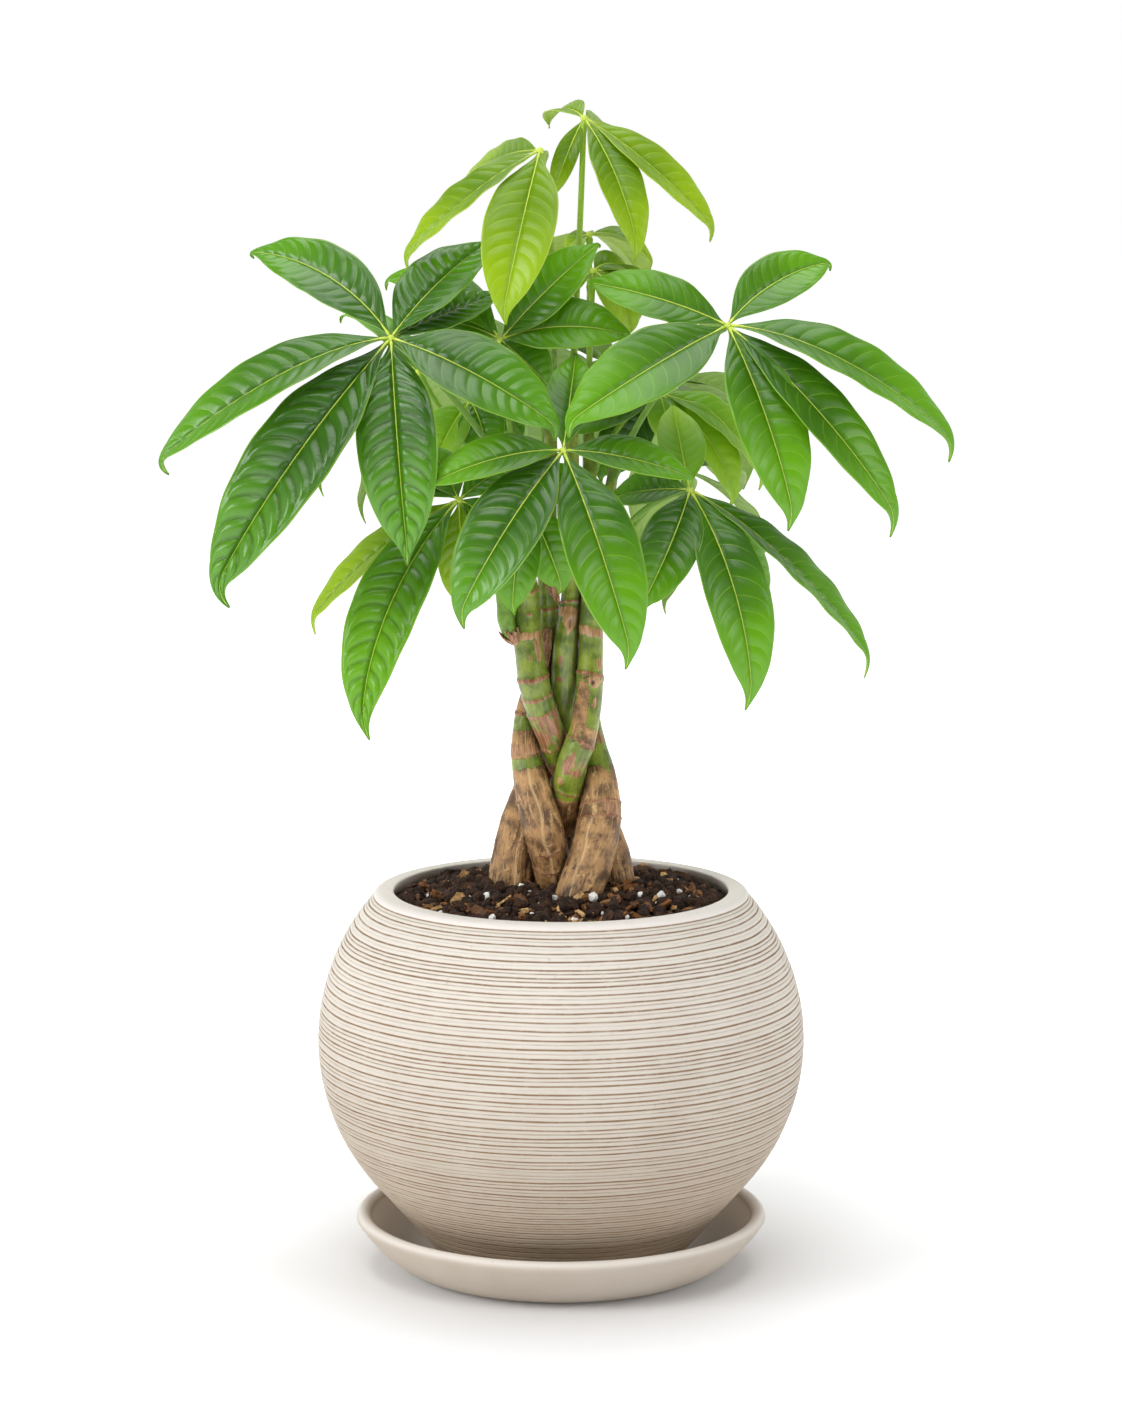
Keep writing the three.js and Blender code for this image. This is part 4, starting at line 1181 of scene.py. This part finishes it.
def build_stem(number):
    rows, way, skin = STEMS[number], STEM_WAYS[number], SKINS[number]
    sides, steps = 84, int(way.length / 0.9)
    made = {}

    def relief(u, v, radius, out):
        angle = u * TURN
        straight = np.stack([radius * np.cos(angle), radius * np.sin(angle), v * way.length], axis=1)
        z = way.at(v)[:, 2]
        stripes = straight * [1, 1, 0.14]
        wander = rough(straight, 9.0, number + 20, 3)
        edge = rough(straight * [1, 1, 1.4], 2.6, number + 30, 3)
        tilt = 1.4 * np.sin(angle + 2 * number)
        green = smooth(-7, 7, z + tilt - skin["green"] + 4 * wander)
        layers = {name: np.zeros_like(z) for name in ("ring", "cork", "mottle", "crack")}
        lift = np.zeros_like(z)
        for kind, right, height, half_width, half_height in skin["marks"]:
            level = z + (tilt if half_width is ROUND else 0) - height
            share = mark_share(kind, radius * out[:, 0] - right, level, half_width, half_height, edge)
            if half_width is not ROUND:
                share = share * smooth(0.25, -0.1, out[:, 1])
            if kind == "green":
                green = np.maximum(green, share)
            elif kind == "brown":
                green = np.minimum(green, 1 - share)
            else:
                layer = "cork" if kind == "shield" else kind
                layers[layer] = np.maximum(layers[layer], share)
            lift += RAISED.get(kind, 0) * share
            if kind == "ring":
                lift += 0.35 * np.exp(-(((level + 2.2) / 2.6) ** 2)) * half_height
        barked = smooth(skin["cracks"] + 12, skin["cracks"] - 10, z)
        old = smooth(225, 190, z)
        split = rough(stripes, 2.4, number + 40, 3)
        cleft = barked * smooth(0.035 + 0.085 * old, 0.0, np.abs(split)) * smooth(0.0, 0.35, wander + 0.35 * old)
        layers["crack"] = np.maximum(layers["crack"], cleft)
        ridges = barked * rough(stripes, 3.6, number + 50, 4)
        line = np.zeros_like(z)
        if number + 1 in LONG_SCARS:
            place = LONG_SCARS[number + 1] + 0.03 * rough(straight * [0, 0, 1], 18.0, number + 60, 2)
            turn = np.arctan2(out[:, 0], -out[:, 1]) / TURN - place
            line = barked * np.exp(-((turn * TURN * radius / 0.55) ** 2))
        # the gap to the nearest trunk sets the painted shade in the clefts between the trunks
        gap = gap_to_neighbours(number, way.at(v) + radius[:, None] * out)
        made.update(straight=straight * MM, green=green, line=line, close=smooth(5.0, 0.4, gap), **layers)
        return lift + 0.4 * ridges - 0.5 * cleft + 0.22 * wander + 0.3 * line

    def radius_at(v):
        z = way.at(v)[:, 2]
        return stem_radius(rows, z) + 0.7 * smooth(200, 225, z) * smooth(320, 290, z)

    piece = tube(f"trunk_{number + 1}", way, radius_at, sides, steps, relief)
    for name, values in made.items():
        note(piece, name, values)
    edit(piece, weld(), outward)
    piece.data.materials.append(TRUNK)
    return finish(piece, "bark", f"stem_{number + 1}")


# The dried sheaths left in the forks: foot, tip, bow and width.
SHEATHS = [
    ((-6, 1, 318), (-6.8, -3, 299.5), (-1, -2.5, 0), 5.5),
    ((12.6, -3, 325), (9.4, -7, 306), (1, -3, 0), 6),
    ((-8.5, 1, 345), (-0.8, -4, 331), (0, -3, 1), 5),
    ((-19, 3, 344), (-24, -4, 327), (-2, -2, 2), 5),
]


def build_sheaths():
    pieces = []
    for number, (foot, tip, bow, width) in enumerate(SHEATHS):
        foot, tip, bow = (np.asarray(v, float) for v in (foot, tip, bow))
        way = Way(bezier([foot, (foot + tip) / 2 + 2 * bow, tip], 60))

        def place(u, v):
            centre, heading = way.at(v), way.heading(v)
            side = unit(np.cross(heading, (0, 1, 0)))
            front = np.cross(side, heading)
            half = width / 2 * np.sin(math.pi * (0.18 + 0.8 * v)) ** 0.8 + 0.15
            s = 2 * u - 1
            tears = np.array([noise.noise(Vector((a * 9, b * 3, number))) for a, b in zip(v, s)])
            bent = 1.1 * s
            across = (half * np.sin(bent) + 0.35 * tears * np.abs(s))[:, None]
            deep = (half * (np.cos(bent) - 0.6) + 0.3 * tears)[:, None]
            return centre + side * across + front * deep

        piece = sheet(f"sheath_{number}", 12, 26, place)
        apply(piece, "SOLIDIFY", thickness=0.3 * MM, offset=0)
        pieces.append(piece)
    dried = joined("dry_sheaths", pieces)
    dried.data.materials.append(DRY_SHEATH)
    return finish(dried, "bark")


# ------------------------------------------------------------ leaves
DRIP = 0.15  # share of a leaflet's length that is its drip tip
COLUMNS = [0, 0.02, 0.05, 0.1, 0.17, *(0.17 + 0.83 * (k / 11) for k in range(1, 12))]


# a leaflet's half width as a share of its largest, at shares of its length: a narrow foot and a long drip tip
OUTLINE = [
    (0, 0.03), (0.05, 0.09), (0.15, 0.42), (0.22, 0.66), (0.3, 0.86), (0.38, 0.96), (0.47, 1), (0.56, 0.975),
    (0.64, 0.9), (0.72, 0.775), (0.8, 0.59), (0.87, 0.36), (0.92, 0.19), (0.96, 0.085), (1, 0.02),
]
OUTLINE_CURVE = catmull_rom([(share, width, 0) for share, width in OUTLINE], 12)


def blade_outline(t):
    return np.interp(t, OUTLINE_CURVE[:, 0], OUTLINE_CURVE[:, 1])


def column_place(u):
    """How far to the side of the rib a blade's column lies, -1 to 1, from its u."""
    middle = len(COLUMNS) - 1
    k = np.rint(u * 2 * middle).astype(int) - middle
    return np.sign(k) * np.array(COLUMNS)[np.abs(k)]


def faded(share):
    """How much a leaflet's quilting shows at a share of its length: none at its foot and tip."""
    return smooth(0.04, 0.16, share) * smooth(1.0, 0.82, share)


def blade_frame(way, out, shares, roll):
    """Centre, side and up along a rib, with the leaf's upper side towards `out`."""
    centre, heading = way.at(shares), way.heading(shares)
    up = unit(out - heading * (heading @ out)[:, None])
    turn = math.radians(roll)
    up = up * math.cos(turn) + np.cross(heading, up) * math.sin(turn)
    return centre, np.cross(heading, up), up


def hooked(way, hook):
    """The rib with its last stretch, the drip tip, bent down and back. The tip stays where it was."""
    share = 1 - DRIP
    bend, ahead = way.at(share), way.heading(share)
    reach = DRIP * way.length
    back = unit((way.points[0] - way.points[-1]) * [1, 1, 0])
    turned = unit(ahead * (1 - hook) + np.array([0, 0, -0.9]) + back * 0.8 * hook)
    knee = bend + 0.45 * reach * ahead
    tail = bezier([bend, knee, knee + 0.6 * reach * turned], 40)
    points = np.concatenate([way.at(np.linspace(0, share, 160)), tail[1:]])
    along = np.linspace(0, 1, len(points))[:, None]
    return Way(points + along**2 * (way.points[-1] - points[-1]))


def build_leaflet(name, hub, face, row, quilt, finish_name, seed):
    """A leaflet's blade and its rib."""
    tip, bow, width, roll, *own = row
    own = own[0] if own else {}
    hook, quilt, finish_name = own.get("hook", 0.8), own.get("quilt", quilt), own.get("finish", finish_name)
    hub, tip, bow = (np.asarray(v, float) for v in (hub, tip, bow))
    ahead = unit(tip)
    out = unit(face - ahead * np.dot(face, ahead))
    way = hooked(Way(bezier([hub, hub + 0.3 * tip + 1.2 * bow, hub + 0.78 * tip + 1.1 * bow, hub + tip])), hook)
    chance = random.Random(seed)
    length, half_width = way.length, width / 2
    count = max(6, round(14.5 * (1 - math.exp(-length / 48))))
    spacing = 0.93 * length / count
    fold = math.radians(BLADE["fold"])
    wave, phase = chance.uniform(0.2, 0.5) * min(1, length / 90), chance.uniform(0, TURN)
    rows = max(40, int(length / 0.72))
    bulge = quilt * min(1, width / 34)
    made = {}

    def place(u, v):
        s = column_place(u)
        side_share = np.abs(s)
        half = np.maximum(half_width * blade_outline(v), 0.35)
        along = v * length
        reach = np.clip(side_share / 0.88, 0, 0.999)
        sweep = spacing * (0.4 * side_share + 0.15 * side_share**2 + 1.05 * (1 - np.sqrt(1 - reach**2)))
        drift = np.array([noise.noise(Vector((a / 17, b * 0.7, seed))) for a, b in zip(along, s)])
        vein = (along - sweep) / spacing + np.where(s > 0, 0.5, 0) + 0.22 * drift + 0.07
        part = vein - np.floor(vein)
        body = (1 - (2 * part - 1) ** 2) * (1 - reach**6)
        pillow = np.clip(body, 0, 1) ** 0.75 * smooth(0, 0.13, side_share)
        fade = faded(v)
        arch = half * math.sin(fold) * (1.5 * side_share - 0.6 * side_share**2)
        ripple = wave * np.sin(TURN * along / (2.6 * spacing) + phase + (s > 0) * 2.1) * side_share**3
        groove = -0.3 * np.exp(-((s * half / 1.2) ** 2))
        level = arch + fade * (bulge * (pillow - 0.3) + ripple) + groove * smooth(0.02, 0.1, v)
        made["vein"] = vein
        centre, side, up = blade_frame(way, out, v, roll)
        return centre + side * (s * half * math.cos(fold))[:, None] + up * level[:, None]

    blade = sheet(name, 2 * (len(COLUMNS) - 1), rows, place)
    note(blade, "vein", made["vein"])
    note(blade, "tone", np.full(len(blade.data.vertices), chance.random()))
    note(blade, "quilted", np.full(len(blade.data.vertices), bulge))
    layer = blade.data.uv_layers.active.data
    flat = np.empty(len(layer) * 2)
    layer.foreach_get("uv", flat)
    flat[0::2] = (column_place(flat[0::2]) + 1) / 2
    layer.foreach_set("uv", flat)
    upper, under, rib_finish, _ = BLADES[finish_name]
    blade.data.materials.append(upper)
    blade.data.materials.append(under)
    thickness = BLADE["thickness"] * MM
    apply(blade, "SOLIDIFY", thickness=thickness, offset=-1, material_offset=1, use_even_offset=False)

    def rib_radius(v):
        return 0.2 + 0.2 * (1 - np.asarray(v)) ** 1.2 + 0.6 * smooth(0.09, 0.0, v)

    shares = np.linspace(0, 1, 161)
    centre, _, up = blade_frame(way, out, shares, roll)
    sag = 0.3 * bulge * faded(shares) + 0.3 * smooth(0.02, 0.1, shares)
    lift = 0.2 * rib_radius(shares) - sag
    sunk = Way(centre + up * lift[:, None])
    rib = tube(name + "_rib", sunk, rib_radius, 8, max(20, int(length / 3)))
    edit(rib, weld(), outward)
    rib.data.materials.append(rib_finish)
    return [blade, rib]


def build_collar(shoot):
    """The torn brown scale round the foot of a side shoot."""
    way = Way(catmull_rom([row[:3] for row in shoot[:3]]))

    def place(u, v):
        angle = u * TURN
        ragged = np.array([noise.noise(Vector((math.cos(a) * 2.2, math.sin(a) * 2.2, 3))) for a in angle])
        share = v * (0.62 + 0.36 * ragged)
        centre, heading = way.at(share), way.heading(share)
        first = unit(np.cross(heading, (0, 1, 0)))
        second = np.cross(heading, first)
        radius = stem_radius(shoot, centre[:, 2]) + 0.45 + 0.9 * v**2 * (0.6 + 0.8 * ragged)
        return centre + radius[:, None] * (np.cos(angle)[:, None] * first + np.sin(angle)[:, None] * second)

    collar = sheet("collar", 48, 8, place)
    edit(collar, weld())
    apply(collar, "SOLIDIFY", thickness=0.5 * MM, offset=0)
    collar.data.materials.append(DRY_SHEATH)
    return collar


def build_leaf(index, name, form):
    shoot = form.get("shoot")
    if shoot:
        stalk_way = Way(catmull_rom([row[:3] for row in shoot]))
    else:
        stem_way = STEM_WAYS[form["stem"] - 1]
        start = stem_way.at(stem_way.share_at_height(form["height"]))
        stalk_way = Way(bezier([start, form["via"], form["hub"]]))
    sides = 24 if shoot else 14
    rows = max(24, int(stalk_way.length / 2))
    middle = (STALK["foot"] + STALK["middle"]) / 2

    def stalk_radius(v):
        if shoot:
            return stem_radius(shoot, stalk_way.at(v)[:, 2]) + 0.5 * smooth(0.93, 0.99, v)
        low = np.interp(v, [0, STALK["swollen"], 1], [STALK["foot"], middle, STALK["hub"]])
        return low + 0.5 * smooth(0.93, 0.99, v) + 0.25 * smooth(0.06, 0.0, v)

    rib_finish, stalk_finish = BLADES[form["finish"]][2:]
    stalk = tube(f"{name}_stalk", stalk_way, stalk_radius, sides, rows)
    edit(stalk, weld(), outward)
    stalk.data.materials.append(stalk_finish)
    bpy.ops.object.select_all(action="DESELECT")
    hub = Vector(form["hub"]) * MM
    bpy.ops.mesh.primitive_ico_sphere_add(subdivisions=3, radius=HUB_RADIUS * MM, location=hub)
    knot = bpy.context.object
    bpy.ops.object.transform_apply(location=True, rotation=True, scale=True)
    knot.data.shade_smooth()
    knot.data.materials.append(rib_finish)
    pieces = [stalk, knot, build_collar(shoot)] if shoot else [stalk, knot]
    face = unit(form["face"])
    for k, row in enumerate(form["leaflets"]):
        seed = 100 * index + k
        pieces += build_leaflet(f"{name}_{k}", form["hub"], face, row, form["quilt"], form["finish"], seed)
    leaf = joined(f"foliage_{name}", pieces)
    slot = "young_leaf" if form["finish"] == "young" else "leaf"
    return finish(leaf, slot, f"leaf_{name}")


# ------------------------------------------------------------ the room
# How bright the room looks from the plant: dark overhead and behind the camera, white behind the plant.
ROOM = dict(dark=0.2, white=0.95)
# In metres: each lamp's place, the point that it looks at and its size, then its power.
LAMPS = dict(
    key=((-2.05, -1.25, 1.25), (0, 0, 0.35), 1.2, 31),
    fill=((1.9, -1.4, 1.2), (0, 0, 0.35), 1.0, 12),
    top=((0, 0.35, 2.5), (0, 0, 0.3), 2.2, 44),
    front=((-0.2, -1.6, 2.3), (0, 0, 0.2), 1.1, 17),
)
# The lens and sensor are in millimetres, the place in metres and the tilt in degrees up from straight down.
CAMERA = dict(lens=106.3, sensor=36, place=(0, -2.0, 0.5805), tilt=81.52)


def build_floor():
    bpy.ops.object.select_all(action="DESELECT")
    bpy.ops.mesh.primitive_plane_add(size=24)
    floor = bpy.context.object
    floor.name = "floor"
    floor.data.materials.append(material("Pale floor", draw_floor))


def softbox(name, place, aim, size, power):
    lamp = bpy.data.lights.new(name, "AREA")
    lamp.shape, lamp.size, lamp.energy = "SQUARE", size, power
    holder = bpy.data.objects.new(name, lamp)
    holder.location = place
    holder.rotation_euler = (Vector(aim) - Vector(place)).to_track_quat("-Z", "Y").to_euler()
    bpy.context.scene.collection.objects.link(holder)


def set_stage():
    build_floor()
    world = bpy.data.worlds.new("White studio")
    world.use_nodes = True
    tree = world.node_tree
    seen = add(tree, "LightPath").outputs["Is Camera Ray"]
    way = add(tree, "SeparateXYZ", Vector=add(tree, "TexCoord").outputs["Generated"])
    behind = ease(tree, way.outputs["Y"], -0.35, 0.55)
    backdrop = times(tree, behind, ease(tree, way.outputs["Z"], 0.8, 0.3))
    glow = maths(tree, "MULTIPLY_ADD", backdrop, ROOM["white"] - ROOM["dark"], ROOM["dark"])
    strength = maths(tree, "MAXIMUM", glow, seen)
    tree.links.new(strength, tree.nodes["Background"].inputs["Strength"])
    tree.nodes["Background"].inputs["Color"].default_value = (1, 1, 1, 1)
    bpy.context.scene.world = world
    for name, values in LAMPS.items():
        softbox(name, *values)
    view = bpy.context.scene.view_settings
    view.view_transform, view.look = "Standard", "None"

    camera = bpy.data.cameras.new("camera")
    camera.lens, camera.sensor_width = CAMERA["lens"], CAMERA["sensor"]
    holder = bpy.data.objects.new("camera", camera)
    holder.location = CAMERA["place"]
    holder.rotation_euler = (math.radians(CAMERA["tilt"]), 0, 0)
    bpy.context.scene.collection.objects.link(holder)
    bpy.context.scene.camera = holder


# ------------------------------------------------------------ making it all
build_pot()
build_saucer()
build_soil_bed()
build_soil_litter()
for stem_number in range(len(STEMS)):
    build_stem(stem_number)
build_sheaths()
for leaf_index, (leaf_name, leaf_form) in enumerate(LEAVES.items()):
    build_leaf(leaf_index, leaf_name, leaf_form)
set_stage()
